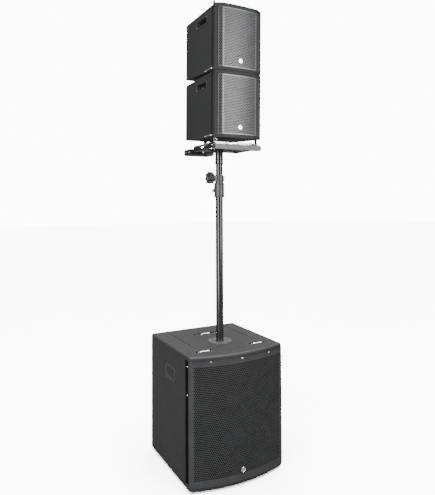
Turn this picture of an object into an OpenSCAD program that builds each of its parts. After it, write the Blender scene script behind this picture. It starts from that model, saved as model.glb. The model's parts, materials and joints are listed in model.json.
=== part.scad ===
// Active speaker column: a bow-fronted subwoofer, a height-adjustable pole and a steel carrier
// that holds two small wedge-shaped top speakers, one pinned on the other.
// Millimetres. +X is to the right seen from the front, the front faces -Y and +Z is up.
// The origin is on the floor, under the middle of the subwoofer's outline.

/* [Subwoofer] */
// Width of the subwoofer cabinet
sub_w = 505; // [480:5:560]
// Depth of the cabinet from its front corners to its back
sub_d = 487; // [470:1:540]
// Height of the cabinet without its feet
sub_h = 600; // [580:10:660]
// How far the front bows out past its corners
sub_bow = 45; // [30:1:60]
// Thickness of the subwoofer's side, back and front boards
sub_board = 18; // [15:1:21]
// Thickness of the subwoofer's top and bottom boards
sub_deck = 20; // [18:1:24]
// Height of the rubber feet
foot_h = 8; // [5:1:12]

/* [Pole] */
// Outer diameter of the pole's lower tube
pole_outer_d = 38; // [38:1:40]
// Outer diameter of the pole's sliding upper tube
pole_inner_d = 35; // [34:0.5:35]
// Height of the top of the clamp collar over the cabinet top
collar_top_rise = 839; // [780:1:900]
// Length of upper tube that shows between the clamp collar and the carrier's sleeve
pole_gap = 54; // [20:1:60]
// Diameter of the star knob
knob_d = 61; // [50:1:66]

/* [Top speakers] */
// Width of a top speaker
top_w = 252; // [246:1:260]
// Depth of a top speaker from its front corners to its back
top_d = 323; // [315:1:340]
// Height from one top speaker's front bottom edge to the next one's
top_pitch = 315; // [305:1:330]
// Slope of a top speaker's top and bottom faces, in degrees
top_slope = 2.35; // [1:0.05:3]
// Tilt of the pair on the carrier, nose down, in degrees
array_tilt = 1.2; // [0:0.1:1.4]

/* [Hidden] */
$fn = 96;

// ---- subwoofer levels and faces
total_d = sub_d + sub_bow;
sub_front = -total_d / 2 + sub_bow;
sub_rear = total_d / 2;
sub_z0 = foot_h;
sub_z1 = foot_h + sub_h;
deck_z0 = sub_z0 + sub_deck;
deck_z1 = sub_z1 - sub_deck;
bow_r = (pow(sub_w / 2, 2) + pow(sub_bow, 2)) / (2 * sub_bow);
bow_cy = sub_front - sub_bow + bow_r;
side_front = sub_front + 52;
baffle_front = side_front;
baffle_rear = baffle_front + sub_board;
inner_x = sub_w / 2 - sub_board;
grille_inset = 3;
sheet = 1.5;

// ---- subwoofer fittings
woofer_z = sub_z0 + 340;
woofer_r = 192;
woofer_cut_r = 176;
port_z = sub_z0 + 70;
port_w = 400;
port_h = 56;
handle_y = 5;
handle_z = sub_z0 + 470;
handle_w = 92;
handle_h = 40;
handle_depth = 56;
link_y_front = sub_front + 65;
link_y_rear = sub_front + 347;
link_x = 147;
amp_w = 280;
amp_h = 420;
amp_z = sub_z0 + 300;
amp_t = 4;
knob_x = 70;
level_z = amp_z + 110;
crossover_z = amp_z + 60;
sink_x = -118;
sink_w = 114;
sink_z0 = amp_z - 95;
sink_z1 = amp_z + 175;
sink_depth = 14;
line_panel = [[4, amp_z - 18], [116, amp_z + 18]];
line_x = [20, 60, 100];
mains_z = amp_z - 150;
mains_panel = [[-98, mains_z - 18], [4, mains_z + 18]];
switch_x = -80;
inlet_x = -18;
rocker_y = sub_rear - 8;

// ---- pole
pole_y = sub_front + 180;
outer_r = pole_outer_d / 2;
inner_r = pole_inner_d / 2;
slide_clear = 0.3;
collar_z1 = sub_z1 + collar_top_rise;
neck_h = 41;
collar_h = 114;
neck_z0 = collar_z1 - neck_h;
collar_z0 = collar_z1 - collar_h;
collar_r = 25.5;
neck_r = 21.5;
clamp_z = collar_z1 - 16;
catch_z = collar_z0 + 37;
catch_x = -22.25;
catch_pin_r = 1.6;
sleeve_z0 = collar_z1 + pole_gap;
sleeve_h = 79;
sleeve_z1 = sleeve_z0 + sleeve_h;
sleeve_r = 20.5;

// ---- array carrier
spine_z0 = sleeve_z1 - 23;
spine_z1 = spine_z0 + 31;
bar_z0 = spine_z0;
bar_z1 = bar_z0 + 24;
bar_y0 = sub_front - 18;
bar_d = 30;
arm_z0 = bar_z0 + 7;
arm_z1 = arm_z0 + 28;
arm_y1 = sub_front + 232;
block_y0 = sub_front + 369;
block_y1 = sub_front + 456;
block_w = 142;

// ---- top speakers, in their own frame: origin on the front bottom edge, y to the back
top_gap = 3;
top_h = top_pitch - top_gap;
top_board = 15;
rail_h = 16;
chamfer_w = 33;
chamfer_d = 15;
top_bow = 5;
top_bow_r = (pow(top_w / 2 - chamfer_w, 2) + pow(top_bow, 2)) / (2 * top_bow);
rise = tan(top_slope);
groove_y0 = 18;
groove_y1 = 40;
groove_x = top_w / 2 - 9.6;
pin_y = (groove_y0 + groove_y1) / 2;
pin_rise = 10;
pin_r = 4;
pin_hole_r = 4.08;
eye_r = 9;
lug_x0 = groove_x + 0.4;
lug_t = 3.7;
strap_x0 = lug_x0 + 4;
strap_t = 4;
top_handle_y = 145;
top_handle_z = 260;
top_handle_w = 107;
top_handle_h = 28;
top_handle_depth = 36;
tongue_y0 = top_d + 9;
tongue_y1 = top_d + 35;
tongue_pin_y = (tongue_y0 + tongue_y1) / 2;
tongue_pin_z = -40;
tongue_t = 8;
tongue_travel_up = 34;
tongue_travel_down = 10;
tongue_swing_r = norm([tongue_pin_y - pin_y, tongue_pin_z - pin_rise]);
clevis_x0 = tongue_t / 2 + 0.6;
clevis_t = 6;
top_woofer_z = 110;
top_woofer_r = 88;
top_cut_r = 79;
horn_z = 250;
horn_w = 190;
horn_h = 84;
top_baffle_y = 8;

// ---- where the lower top speaker stands
top_y = sub_front - 10;
top_z = sleeve_z1 + 31;

// ======== shared shapes

// A block from one corner to the opposite one.
module block(from, to) {
    translate(from) cube(to - from);
}

// The same thing on the left and on the right.
module both_sides() {
    children();
    mirror([1, 0, 0]) children();
}

// A rod along X from x0 to x1.
module rod_x(x0, x1, y, z, r) {
    translate([x0, y, z]) rotate([0, 90, 0]) cylinder(r = r, h = x1 - x0);
}

// A rod along Y from y0 to y1.
module rod_y(x, y0, y1, z, r) {
    translate([x, y0, z]) rotate([-90, 0, 0]) cylinder(r = r, h = y1 - y0);
}

// A shape turned about the Y axis through (x, z): its profile's radius is the distance from that
// axis and its profile's height is the distance in front of y.
module turned_y(x, y, z) {
    translate([x, y, z]) rotate([90, 0, 0]) rotate_extrude() children();
}

// ======== subwoofer cabinet

// The cabinet seen from above, drawn in by inset all round.
module sub_outline(inset = 0) {
    intersection() {
        translate([0, bow_cy]) circle(r = bow_r - inset);
        translate([-sub_w / 2 + inset, -total_d])
            square([sub_w - 2 * inset, total_d + sub_rear - inset]);
    }
}

module sub_side() {
    color([0.27, 0.27, 0.28]) difference() {
        block([inner_x, side_front, deck_z0], [sub_w / 2, sub_rear - sub_board, deck_z1]);
        block([inner_x - 1, handle_y - handle_w / 2 - 3, handle_z - handle_h / 2 - 3],
              [sub_w / 2 + 1, handle_y + handle_w / 2 + 3, handle_z + handle_h / 2 + 3]);
        // the handle's flange lies in a shallow rebate
        block([sub_w / 2 - 3, handle_y - handle_w / 2 - 20, handle_z - handle_h / 2 - 20],
              [sub_w / 2 + 1, handle_y + handle_w / 2 + 20, handle_z + handle_h / 2 + 20]);
    }
}

module sub_left_side() {
    mirror([1, 0, 0]) sub_side();
}

module sub_right_side() {
    sub_side();
}

// The pockets for one stacking link: a shallow tray with its pin at the middle.
module link_pocket(x, y, length) {
    block([x - length / 2, y - 9, sub_z1 - 8], [x + length / 2, y + 9, sub_z1 + 1]);
}

module sub_top() {
    groove_x_top = 168;
    color([0.33, 0.33, 0.34]) difference() {
        translate([0, 0, deck_z1]) linear_extrude(sub_deck) sub_outline();
        // two long skid grooves and a short one at the front
        both_sides() block([groove_x_top - 4, sub_front + 139, sub_z1 - 3],
                           [groove_x_top + 4, sub_rear - 50, sub_z1 + 1]);
        block([-68, sub_front + 33, sub_z1 - 2], [68, sub_front + 38, sub_z1 + 1]);
        both_sides() link_pocket(link_x, link_y_front, 90);
        link_pocket(0, link_y_rear, 133);
        // seat of the pole plate and the hole for its socket
        translate([0, pole_y, sub_z1 - 1]) cylinder(r = 62, h = 2);
        translate([0, pole_y, deck_z1 - 1]) cylinder(r = 22.5, h = sub_deck + 2);
    }
}

module sub_bottom() {
    color([0.27, 0.27, 0.28]) translate([0, 0, sub_z0]) linear_extrude(sub_deck) sub_outline();
}

module sub_back() {
    color([0.24, 0.24, 0.25]) difference() {
        block([-sub_w / 2, sub_rear - sub_board, deck_z0], [sub_w / 2, sub_rear, deck_z1]);
        block([-amp_w / 2 + 15, sub_rear - sub_board - 1, amp_z - amp_h / 2 + 15],
              [amp_w / 2 - 15, sub_rear + 1, amp_z + amp_h / 2 - 15]);
        // the amplifier's plate lies in a rebate
        block([-amp_w / 2, sub_rear - amp_t, amp_z - amp_h / 2],
              [amp_w / 2, sub_rear + 1, amp_z + amp_h / 2]);
    }
}

module sub_baffle() {
    color([0.12, 0.12, 0.12]) difference() {
        block([-inner_x, baffle_front, deck_z0], [inner_x, baffle_rear, deck_z1]);
        rod_y(0, baffle_front - 1, baffle_rear + 1, woofer_z, woofer_cut_r);
        block([-port_w / 2, baffle_front - 1, port_z - port_h / 2],
              [port_w / 2, baffle_rear + 1, port_z + port_h / 2]);
    }
}

// The port is a letter-box duct on the cabinet floor, open to the front and at its back end.
module sub_port_shelf() {
    color([0.14, 0.14, 0.14]) {
        block([-inner_x, baffle_rear, port_z + port_h / 2],
              [inner_x, baffle_rear + 240, port_z + port_h / 2 + 12]);
        both_sides() block([port_w / 2, baffle_rear, deck_z0],
                           [port_w / 2 + 12, baffle_rear + 240, port_z + port_h / 2]);
    }
}

// A post stands in each front corner, set back from the side to leave a dark channel.
module sub_front_posts() {
    color([0.10, 0.10, 0.10]) both_sides()
        block([inner_x - 12, sub_front + 7, deck_z0], [sub_w / 2 - 6.5, side_front, deck_z1]);
}

// The grille is a bowed sheet with its two edges folded back along the cabinet sides.
module sub_grille() {
    flange_depth = 16;
    color([0.20, 0.20, 0.21]) translate([0, 0, deck_z0 + 0.5])
        linear_extrude(deck_z1 - deck_z0 - 1) difference() {
            intersection() {
                sub_outline(grille_inset - 1);
                translate([-sub_w / 2, -total_d]) square([sub_w, total_d + sub_front + flange_depth]);
            }
            sub_outline(grille_inset - 1 + sheet);
        }
}

// Screws: three through the grille's top edge, and two down each front channel.
module sub_grille_screws() {
    screw_x = 158;
    screw_z = sub_z0 + 574;
    color([0.80, 0.80, 0.82]) {
        for (x = [-screw_x, 0, screw_x])
            let (skin_r = bow_r - grille_inset + 1)
                translate([0, bow_cy, 0]) rotate([0, 0, asin(x / skin_r)])
                    rod_y(0, -skin_r - 1.8, -skin_r, screw_z, 4);
        for (z = [sub_z0 + 419, sub_z0 + 548]) both_sides()
            rod_x(sub_w / 2 - 6.5, sub_w / 2 - 4.5, sub_front + 38, z, 4);
    }
}

module sub_badge() {
    color([0.80, 0.80, 0.82])
        rod_y(0, sub_front - sub_bow + 0.2, sub_front - sub_bow + 1.9, sub_z0 + 62, 12);
}

// A handle cup: a flanged pocket let into the side.
module sub_handle_cup() {
    wall = 2.5;
    flange = 19.5;
    difference() {
        union() {
            block([sub_w / 2 - 3, handle_y - handle_w / 2 - flange, handle_z - handle_h / 2 - flange],
                  [sub_w / 2, handle_y + handle_w / 2 + flange, handle_z + handle_h / 2 + flange]);
            block([sub_w / 2 - handle_depth - wall, handle_y - handle_w / 2 - wall,
                   handle_z - handle_h / 2 - wall],
                  [sub_w / 2 - 1, handle_y + handle_w / 2 + wall, handle_z + handle_h / 2 + wall]);
        }
        block([sub_w / 2 - handle_depth, handle_y - handle_w / 2, handle_z - handle_h / 2],
              [sub_w / 2 + 1, handle_y + handle_w / 2, handle_z + handle_h / 2]);
    }
}

module sub_side_handles() {
    color([0.13, 0.13, 0.13]) both_sides() sub_handle_cup();
}

module sub_feet() {
    inset = 60;
    color([0.08, 0.08, 0.08]) both_sides()
        for (y = [sub_front + inset, sub_rear - inset])
            translate([sub_w / 2 - inset, y, 0]) cylinder(r = 20, h = foot_h);
}

// ======== subwoofer stacking links

// A folding link lying in its tray, level with the top.
module stacking_link(x, y, length) {
    block([x - length / 2 + 1, y - 8, sub_z1 - 8], [x + length / 2 - 1, y + 8, sub_z1 - 5]);
    for (end = [-1, 1])
        translate([x + end * (length / 2 - 12.5) - 9.5, y - 7, sub_z1 - 5]) cube([19, 14, 4.5]);
}

module sub_stacking_links() {
    color([0.30, 0.30, 0.32]) {
        both_sides() stacking_link(link_x, link_y_front, 90);
        stacking_link(0, link_y_rear, 133);
    }
}

module sub_stacking_pins() {
    color([0.85, 0.85, 0.87]) {
        both_sides() rod_x(link_x - 22, link_x + 22, link_y_front, sub_z1 - 1.6, 3.4);
        rod_x(-24, 24, link_y_rear, sub_z1 - 1.6, 3.4);
    }
}

// ======== subwoofer driver

module sub_woofer_frame() {
    color([0.16, 0.16, 0.17]) turned_y(0, baffle_front, woofer_z)
        polygon([[woofer_cut_r - 10, 9], [woofer_r, 9], [woofer_r, 0.2], [woofer_cut_r - 1, 0.2],
                 [woofer_cut_r - 1, -30], [92, -118], [92, -124], [80, -124], [80, -112],
                 [woofer_cut_r - 10, -26]]);
}

module sub_woofer_magnet() {
    color([0.22, 0.22, 0.23]) turned_y(0, baffle_front, woofer_z)
        polygon([[0, -182], [104, -182], [104, -124.2], [46, -124.2], [46, -170], [0, -170]]);
}

module sub_woofer_cone() {
    color([0.09, 0.09, 0.09]) turned_y(0, baffle_front, woofer_z)
        polygon([[0, -52], [50, -64], [150, 2], [156, 12], [162, 2], [165, -2], [165, -5], [158, -5],
                 [50, -70], [41, -70], [41, -150], [38, -150], [38, -66], [0, -56]]);
}

// ======== subwoofer amplifier

// A window or panel in the amplifier's plate, from its [x, z] corners and its depths in y.
module panel_block(corners, y0, y1) {
    block([corners[0][0], y0, corners[0][1]], [corners[1][0], y1, corners[1][1]]);
}

// The rear plate with windows for its two socket panels, and the finned heat sink in a third.
module amp_plate() {
    fin_count = 11;
    fin_pitch = 10;
    fin_gap = 6;
    sink = [[sink_x, sink_z0], [sink_x + sink_w, sink_z1]];
    color([0.10, 0.10, 0.11]) {
        difference() {
            block([-amp_w / 2, sub_rear - amp_t, amp_z - amp_h / 2],
                  [amp_w / 2, sub_rear, amp_z + amp_h / 2]);
            for (window = [sink, line_panel, mains_panel])
                panel_block(window, sub_rear - amp_t - 1, sub_rear + 1);
            for (z = [level_z, crossover_z]) rod_y(knob_x, sub_rear - 20, sub_rear + 1, z, 3.6);
            for (z = [level_z, crossover_z]) rod_y(knob_x, sub_rear - 3.2, sub_rear + 1, z, 10);
        }
        difference() {
            panel_block(sink, sub_rear - sink_depth, sub_rear);
            for (i = [0:fin_count - 1])
                block([sink_x + 4 + i * fin_pitch, sub_rear - sink_depth + 4, sink_z0 - 1],
                      [sink_x + 4 + i * fin_pitch + fin_gap, sub_rear + 1, sink_z1 + 1]);
        }
    }
}

// What the plate carries inside: a sheet tray, and in it a circuit board and a ring transformer.
module amp_electronics() {
    wall = 2;
    low = [-amp_w / 2 + 17, sub_rear - 110, amp_z - amp_h / 2 + 17];
    high = [amp_w / 2 - 17, sub_rear - amp_t, amp_z + amp_h / 2 - 17];
    board_y = low[1] + 18;
    color([0.30, 0.31, 0.32]) difference() {
        block(low, high);
        block(low + [wall, wall, wall], high + [-wall, 1, -wall]);
    }
    color([0.10, 0.22, 0.14])
        block([low[0] + 12, board_y, amp_z - 60], [high[0] - 12, board_y + 2, high[2] - 14]);
    color([0.55, 0.38, 0.15])
        translate([45, low[1] + wall, amp_z - 125]) rotate([-90, 0, 0]) difference() {
            cylinder(r = 52, h = 46);
            translate([0, 0, -1]) cylinder(r = 14, h = 48);
        }
}

// One socket panel with three round line sockets, and one with the mains inlet and the well that
// the mains rocker turns in.
module amp_sockets() {
    face = sub_rear - 0.5;
    color([0.30, 0.30, 0.32]) {
        difference() {
            union() {
                panel_block(line_panel, face - 2, face);
                for (x = line_x) rod_y(x, sub_rear - 20, face, amp_z, 12);
            }
            for (x = line_x) rod_y(x, sub_rear - 17, sub_rear, amp_z, 9);
        }
        difference() {
            union() {
                panel_block(mains_panel, face - 2, face);
                block([inlet_x - 17, sub_rear - 20, mains_z - 14], [inlet_x + 17, face, mains_z + 14]);
                block([switch_x - 13, sub_rear - 16, mains_z - 17],
                      [switch_x + 13, face, mains_z + 17]);
            }
            block([inlet_x - 14, sub_rear - 17, mains_z - 11], [inlet_x + 14, sub_rear, mains_z + 11]);
            block([switch_x - 11, sub_rear - 14, mains_z - 15],
                  [switch_x + 11, sub_rear, mains_z + 15]);
            rod_x(switch_x - 14, switch_x + 14, rocker_y, mains_z, 2.1);
        }
    }
}

// A rotary knob recessed in the plate, with its pointer cut in the cap.
module amp_knob(z) {
    color([0.15, 0.15, 0.16]) difference() {
        union() {
            rod_y(knob_x, sub_rear - 18, sub_rear - 2.5, z, 3.5);
            rod_y(knob_x, sub_rear - 2.8, sub_rear - 0.2, z, 9.5);
        }
        block([knob_x - 0.8, sub_rear - 1, z + 2], [knob_x + 0.8, sub_rear + 1, z + 10]);
    }
}

module level_knob() {
    amp_knob(level_z);
}

module crossover_knob() {
    amp_knob(crossover_z);
}

// A rocker: its face is a shallow V, and it turns on two stub axles.
module power_switch() {
    color([0.08, 0.08, 0.08]) {
        translate([switch_x - 10, sub_rear - 6, mains_z]) rotate([90, 0, 90]) linear_extrude(20)
            polygon([[-5, -6], [1.2, -12], [3.5, -12], [1.8, 0], [4.6, 11.5], [2.2, 12], [-5, 6]]);
        rod_x(switch_x - 12.5, switch_x + 12.5, rocker_y, mains_z, 2);
    }
}

// ======== pole

// A round flanged plate with the threaded socket for the pole's foot.
module pole_plate() {
    color([0.45, 0.45, 0.46]) difference() {
        union() {
            translate([0, pole_y, sub_z1 - 1]) cylinder(r = 61.8, h = 3);
            translate([0, pole_y, sub_z1 - 110]) cylinder(r = 22.3, h = 110);
        }
        translate([0, pole_y, sub_z1 - 90]) cylinder(r = 10, h = 100);
    }
}

module pole_outer_tube() {
    foot_z = sub_z1 + 2;
    color([0.07, 0.07, 0.07]) translate([0, pole_y, 0]) difference() {
        union() {
            translate([0, 0, foot_z]) cylinder(r = outer_r, h = collar_z1 - 6 - foot_z);
            translate([0, 0, foot_z - 80]) cylinder(r = 9.9, h = 81);
        }
        translate([0, 0, foot_z + 12]) cylinder(r = inner_r + slide_clear, h = collar_z1);
        // window for the clamp screw and one for the catch
        rotate([0, 0, 180]) translate([10, 0, clamp_z]) rotate([0, 90, 0]) cylinder(r = 6.5, h = 20);
        block([-30, -4.6, catch_z - 8.5], [-10, 4.6, catch_z + 8.5]);
    }
}

// The collar: a thick barrel with a split neck over it and a boss for the clamp screw.
module pole_clamp_collar() {
    lip = 6;
    color([0.09, 0.09, 0.09]) translate([0, pole_y, 0]) difference() {
        union() {
            translate([0, 0, collar_z0]) cylinder(r = collar_r, h = collar_h - neck_h);
            translate([0, 0, neck_z0]) cylinder(r = neck_r, h = neck_h);
            block([-36, -11, neck_z0 + 8], [0, 11, collar_z1 - 4]);
            block([0, -8, neck_z0 + 10], [neck_r + 7, 8, collar_z1 - 6]);
        }
        translate([0, 0, collar_z0 - 1]) cylinder(r = outer_r, h = collar_h - lip + 1);
        translate([0, 0, collar_z1 - lip - 1]) cylinder(r = inner_r + slide_clear, h = lip + 2);
        // the split, the clamp screw's hole, the catch's slot and the hole for its pivot
        block([0, -1.5, neck_z0 + 4], [neck_r + 10, 1.5, collar_z1 + 1]);
        rod_x(-40, 0, 0, clamp_z, 6.1);
        block([-collar_r - 2, -4.4, catch_z - 14], [-12, 4.4, catch_z + 14]);
        rod_y(catch_x, -collar_r, collar_r, catch_z, catch_pin_r + 0.06);
    }
}

module pole_inner_tube() {
    tube_length = 560;
    color([0.07, 0.07, 0.07]) translate([0, pole_y, sleeve_z1 - 2 - tube_length]) difference() {
        cylinder(r = inner_r, h = tube_length);
        translate([0, 0, -1]) cylinder(r = inner_r - 2, h = tube_length + 2);
    }
}

// A seven-lobed star knob on a screw that bears on the sliding tube.
module pole_clamp_knob() {
    lobes = 7;
    lobe_r = 8;
    knob_t = 27;
    color([0.13, 0.13, 0.14]) translate([0, pole_y, clamp_z]) rotate([0, -90, 0]) {
        translate([0, 0, inner_r + 0.4]) cylinder(r = 6, h = 26);
        translate([0, 0, 39]) difference() {
            union() {
                cylinder(r = knob_d / 2 - lobe_r, h = knob_t);
                for (i = [0:lobes - 1]) rotate([0, 0, i * 360 / lobes])
                    translate([knob_d / 2 - lobe_r, 0, 0]) cylinder(r = lobe_r, h = knob_t);
            }
            translate([0, 0, knob_t - 3]) cylinder(r = 11, h = 4);
        }
        translate([0, 0, 37]) cylinder(r = 13, h = 3);
    }
}

// A three-cornered catch lever in the collar's slot, on its pivot; its toe keeps the tube from
// dropping.
module pole_safety_catch() {
    color([0.05, 0.05, 0.05]) {
        translate([0, pole_y + 4, catch_z]) rotate([90, 0, 0]) linear_extrude(8)
            polygon([[-42, -4], [-40, -8], [-26, -13], [-20, -8], [-18.4, -3], [-18.4, 3], [-22, 8],
                     [-27, 12], [-36, 0]]);
        rod_y(catch_x, pole_y - 12, pole_y + 12, catch_z, catch_pin_r);
    }
}

// ======== array carrier

module array_sleeve() {
    color([0.07, 0.07, 0.07]) translate([0, pole_y, sleeve_z0]) difference() {
        cylinder(r = sleeve_r, h = sleeve_h);
        translate([0, 0, -1]) cylinder(r = inner_r + slide_clear, h = sleeve_h + 2);
    }
}

module array_front_bar() {
    wall = 3;
    color([0.62, 0.62, 0.64]) difference() {
        block([-top_w / 2, bar_y0, bar_z0], [top_w / 2, bar_y0 + bar_d, bar_z1]);
        block([-top_w / 2 - 1, bar_y0 + wall, bar_z0 + wall],
              [top_w / 2 + 1, bar_y0 + bar_d - wall, bar_z1 - wall]);
    }
}

// Where a point of the lower top speaker's frame lies in the carrier's.
function tilted_y(y, z) = top_y + y * cos(array_tilt) - z * sin(array_tilt);
function tilted_z(y, z) = top_z + y * sin(array_tilt) + z * cos(array_tilt);

// One arm: a flat bar with a long slot, and at its front a lug with the tilt pin's hole.
module side_arm() {
    arm_x0 = lug_x0 + lug_t - 8;
    arm_x1 = lug_x0 + lug_t;
    arm_y0 = bar_y0 + bar_d;
    lug_y = tilted_y(pin_y, pin_rise);
    lug_z = tilted_z(pin_y, pin_rise);
    slot_z = (arm_z0 + arm_z1) / 2;
    difference() {
        union() {
            block([arm_x0, arm_y0, arm_z0], [arm_x1, arm_y1 - 14, arm_z1]);
            rod_x(arm_x0, arm_x1, arm_y1 - 14, slot_z, 14);
            block([lug_x0, arm_y0, arm_z1 - 1], [arm_x1, lug_y + eye_r, lug_z]);
            rod_x(lug_x0, arm_x1, lug_y, lug_z, eye_r);
        }
        rod_x(lug_x0 - 1, arm_x1 + 1, lug_y, lug_z, pin_hole_r);
        block([arm_x0 - 1, arm_y1 - 138, slot_z - 4], [arm_x1 + 1, arm_y1 - 78, slot_z + 4]);
        for (y = [arm_y1 - 138, arm_y1 - 78]) rod_x(arm_x0 - 1, arm_x1 + 1, y, slot_z, 4);
    }
}

// Both arms, each tied to the spine by a cross tube.
module array_side_arms() {
    arm_x0 = lug_x0 + lug_t - 8;
    tube_x0 = clevis_x0 + clevis_t;
    tube_y = arm_y1 - 14;
    tube_z = arm_z0 + 11;
    color([0.62, 0.62, 0.64]) both_sides() {
        side_arm();
        rod_x(tube_x0, arm_x0, tube_y, tube_z, 9);
    }
}

// The spine: two plates from the front bar to the rear box, with the sleeve's seat between them.
module array_spine() {
    box_wall = 4;
    box_z0 = spine_z0 + 8;
    box_z1 = box_z0 + 32;
    seat = 27;
    plate_z0 = spine_z0 + 9;
    color([0.16, 0.16, 0.17]) difference() {
        union() {
            both_sides() block([clevis_x0, bar_y0 + bar_d, plate_z0],
                               [clevis_x0 + clevis_t, block_y0, spine_z1]);
            block([-seat, pole_y - seat, plate_z0], [seat, pole_y + seat, spine_z1]);
            difference() {
                block([-block_w / 2, block_y0, box_z0], [block_w / 2, block_y1, box_z1]);
                block([-block_w / 2 + box_wall, block_y0 + box_wall, box_z0 + box_wall],
                      [block_w / 2 - box_wall, block_y1 - box_wall, box_z1 - box_wall]);
            }
        }
        translate([0, pole_y, spine_z0 - 1]) cylinder(r = sleeve_r, h = sleeve_z1 - spine_z0 + 1);
        rod_x(-20, 20, tilted_y(tongue_pin_y, tongue_pin_z), tilted_z(tongue_pin_y, tongue_pin_z),
              pin_hole_r);
    }
}

// The bolt through the spine and the lower speaker's tongue, the rear box's end bolts, and the
// bolts that hold the spine to its seat.
module array_tilt_bolt() {
    bolt_y = tilted_y(tongue_pin_y, tongue_pin_z);
    bolt_z = tilted_z(tongue_pin_y, tongue_pin_z);
    side = clevis_x0 + clevis_t;
    color([0.75, 0.75, 0.77]) {
        rod_x(-side - 1, side + 1, bolt_y, bolt_z, pin_r);
        both_sides() rod_x(side + 0.1, side + 6, bolt_y, bolt_z, 7);
        both_sides() for (y = [block_y0 + 20, block_y1 - 18])
            rod_x(block_w / 2, block_w / 2 + 3, y, spine_z0 + 24, 5);
    }
}

// Two spare quick-release pins clipped on top of the front bar, each with its pull ring.
module array_stowed_pins() {
    y = bar_y0 + 8;
    z = bar_z1 + 6;
    color([0.82, 0.82, 0.84]) {
        for (x = [-118, -66, 6, 58]) block([x - 3, y - 5, bar_z1], [x + 3, y + 5, z]);
        rod_x(-126, -56, y, z, 4);
        rod_x(-7, 66, y, z, 4);
        rod_x(66, 112, y, z, 5.5);
        translate([-120, y, z + 9]) rotate([90, 0, 0]) rotate_extrude()
            translate([7, 0]) circle(r = 1.6);
        translate([116, y, z + 2]) rotate([90, 0, 0]) rotate_extrude()
            translate([6, 0]) circle(r = 1.6);
    }
}

// A quick-release pin in a speaker's side groove, with its handle laid back along the side.
// Drawn in the speaker's frame, for the right side.
module cross_pin() {
    handle_x = top_w / 2 + 4;
    color([0.85, 0.85, 0.87]) {
        rod_x(groove_x + 0.3, handle_x, pin_y, pin_rise, pin_r);
        translate([handle_x, pin_y, pin_rise]) sphere(r = pin_r);
        rod_y(handle_x, pin_y, pin_y + 56, pin_rise, 2.8);
    }
}

// ======== placing the two top speakers

module at_lower() {
    translate([0, top_y, top_z]) rotate([array_tilt, 0, 0]) children();
}

module at_upper() {
    at_lower() translate([0, 0, top_pitch]) children();
}

module left_tilt_pin() {
    at_lower() mirror([1, 0, 0]) cross_pin();
}

module right_tilt_pin() {
    at_lower() cross_pin();
}

module left_splay_pin() {
    at_upper() mirror([1, 0, 0]) cross_pin();
}

module right_splay_pin() {
    at_upper() cross_pin();
}

// ======== one top speaker

// The speaker from above: chamfered front corners and a slight bow between them.
module top_outline(inset = 0) {
    half = top_w / 2 - inset;
    flat = top_w / 2 - chamfer_w;
    front = -chamfer_d + inset;
    polygon([[-half, top_d - inset], [-half, inset], [-flat, front], [flat, front],
             [half, inset], [half, top_d - inset]]);
    intersection() {
        translate([0, -chamfer_d - top_bow + top_bow_r]) circle(r = top_bow_r - inset);
        translate([-flat, -chamfer_d - top_bow]) square([2 * flat, 2 * top_bow + chamfer_d]);
    }
}

// A slab of the speaker's width between two heights that follow its sloping faces.
module wedge(y0, y1, below, above) {
    rotate([90, 0, 90]) translate([0, 0, -top_w / 2 - 1]) linear_extrude(top_w + 2)
        polygon([[y0, y0 * rise + below], [y1, y1 * rise + below],
                 [y1, top_h - y1 * rise - above], [y0, top_h - y0 * rise - above]]);
}

module top_cabinet() {
    color([0.24, 0.24, 0.25]) difference() {
        intersection() {
            linear_extrude(top_h + 5) top_outline();
            wedge(-chamfer_d - top_bow - 1, top_d + 1, 0, 0);
        }
        // the inside, and the open front between the two rails
        intersection() {
            wedge(-chamfer_d - top_bow - 2, top_d - top_board, rail_h, rail_h);
            block([-top_w / 2 + top_board, -50, 0], [top_w / 2 - top_board, top_d, top_h]);
        }
        intersection() {
            wedge(-chamfer_d - top_bow - 2, 0, rail_h, rail_h);
            block([-top_w, -50, 0], [top_w, 0, top_h]);
        }
        both_sides() {
            block([groove_x, groove_y0, -5], [top_w / 2 + 1, groove_y1, top_h + 5]);
            block([top_w / 2 - top_board - 1, top_handle_y - top_handle_w / 2 - 2,
                   top_handle_z - top_handle_h / 2 - 2],
                  [top_w / 2 + 1, top_handle_y + top_handle_w / 2 + 2,
                   top_handle_z + top_handle_h / 2 + 2]);
        }
        block([-45, top_d - top_board - 1, 115], [45, top_d + 1, 205]);
    }
}

module top_baffle() {
    color([0.10, 0.10, 0.10]) difference() {
        intersection() {
            block([-top_w / 2 + top_board, top_baffle_y, 0],
                  [top_w / 2 - top_board, top_baffle_y + top_board, top_h]);
            wedge(top_baffle_y - 1, top_baffle_y + top_board + 1, rail_h, rail_h);
        }
        rod_y(0, 0, 50, top_woofer_z, top_cut_r);
        block([-horn_w / 2, 0, horn_z - horn_h / 2], [horn_w / 2, 50, horn_z + horn_h / 2]);
    }
}

module top_grille() {
    inset = 2.5;
    color([0.45, 0.46, 0.48]) intersection() {
        linear_extrude(top_h) difference() {
            top_outline(inset);
            top_outline(inset + sheet);
            translate([-top_w, 0]) square([2 * top_w, top_d + 10]);
        }
        wedge(-chamfer_d - top_bow - 1, 5, rail_h + 0.4, rail_h + 0.4);
    }
}

module top_badge() {
    color([0.80, 0.80, 0.82]) rod_y(0, -chamfer_d - top_bow + 0.3, -chamfer_d - top_bow + 2.2, 50, 7);
}

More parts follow.
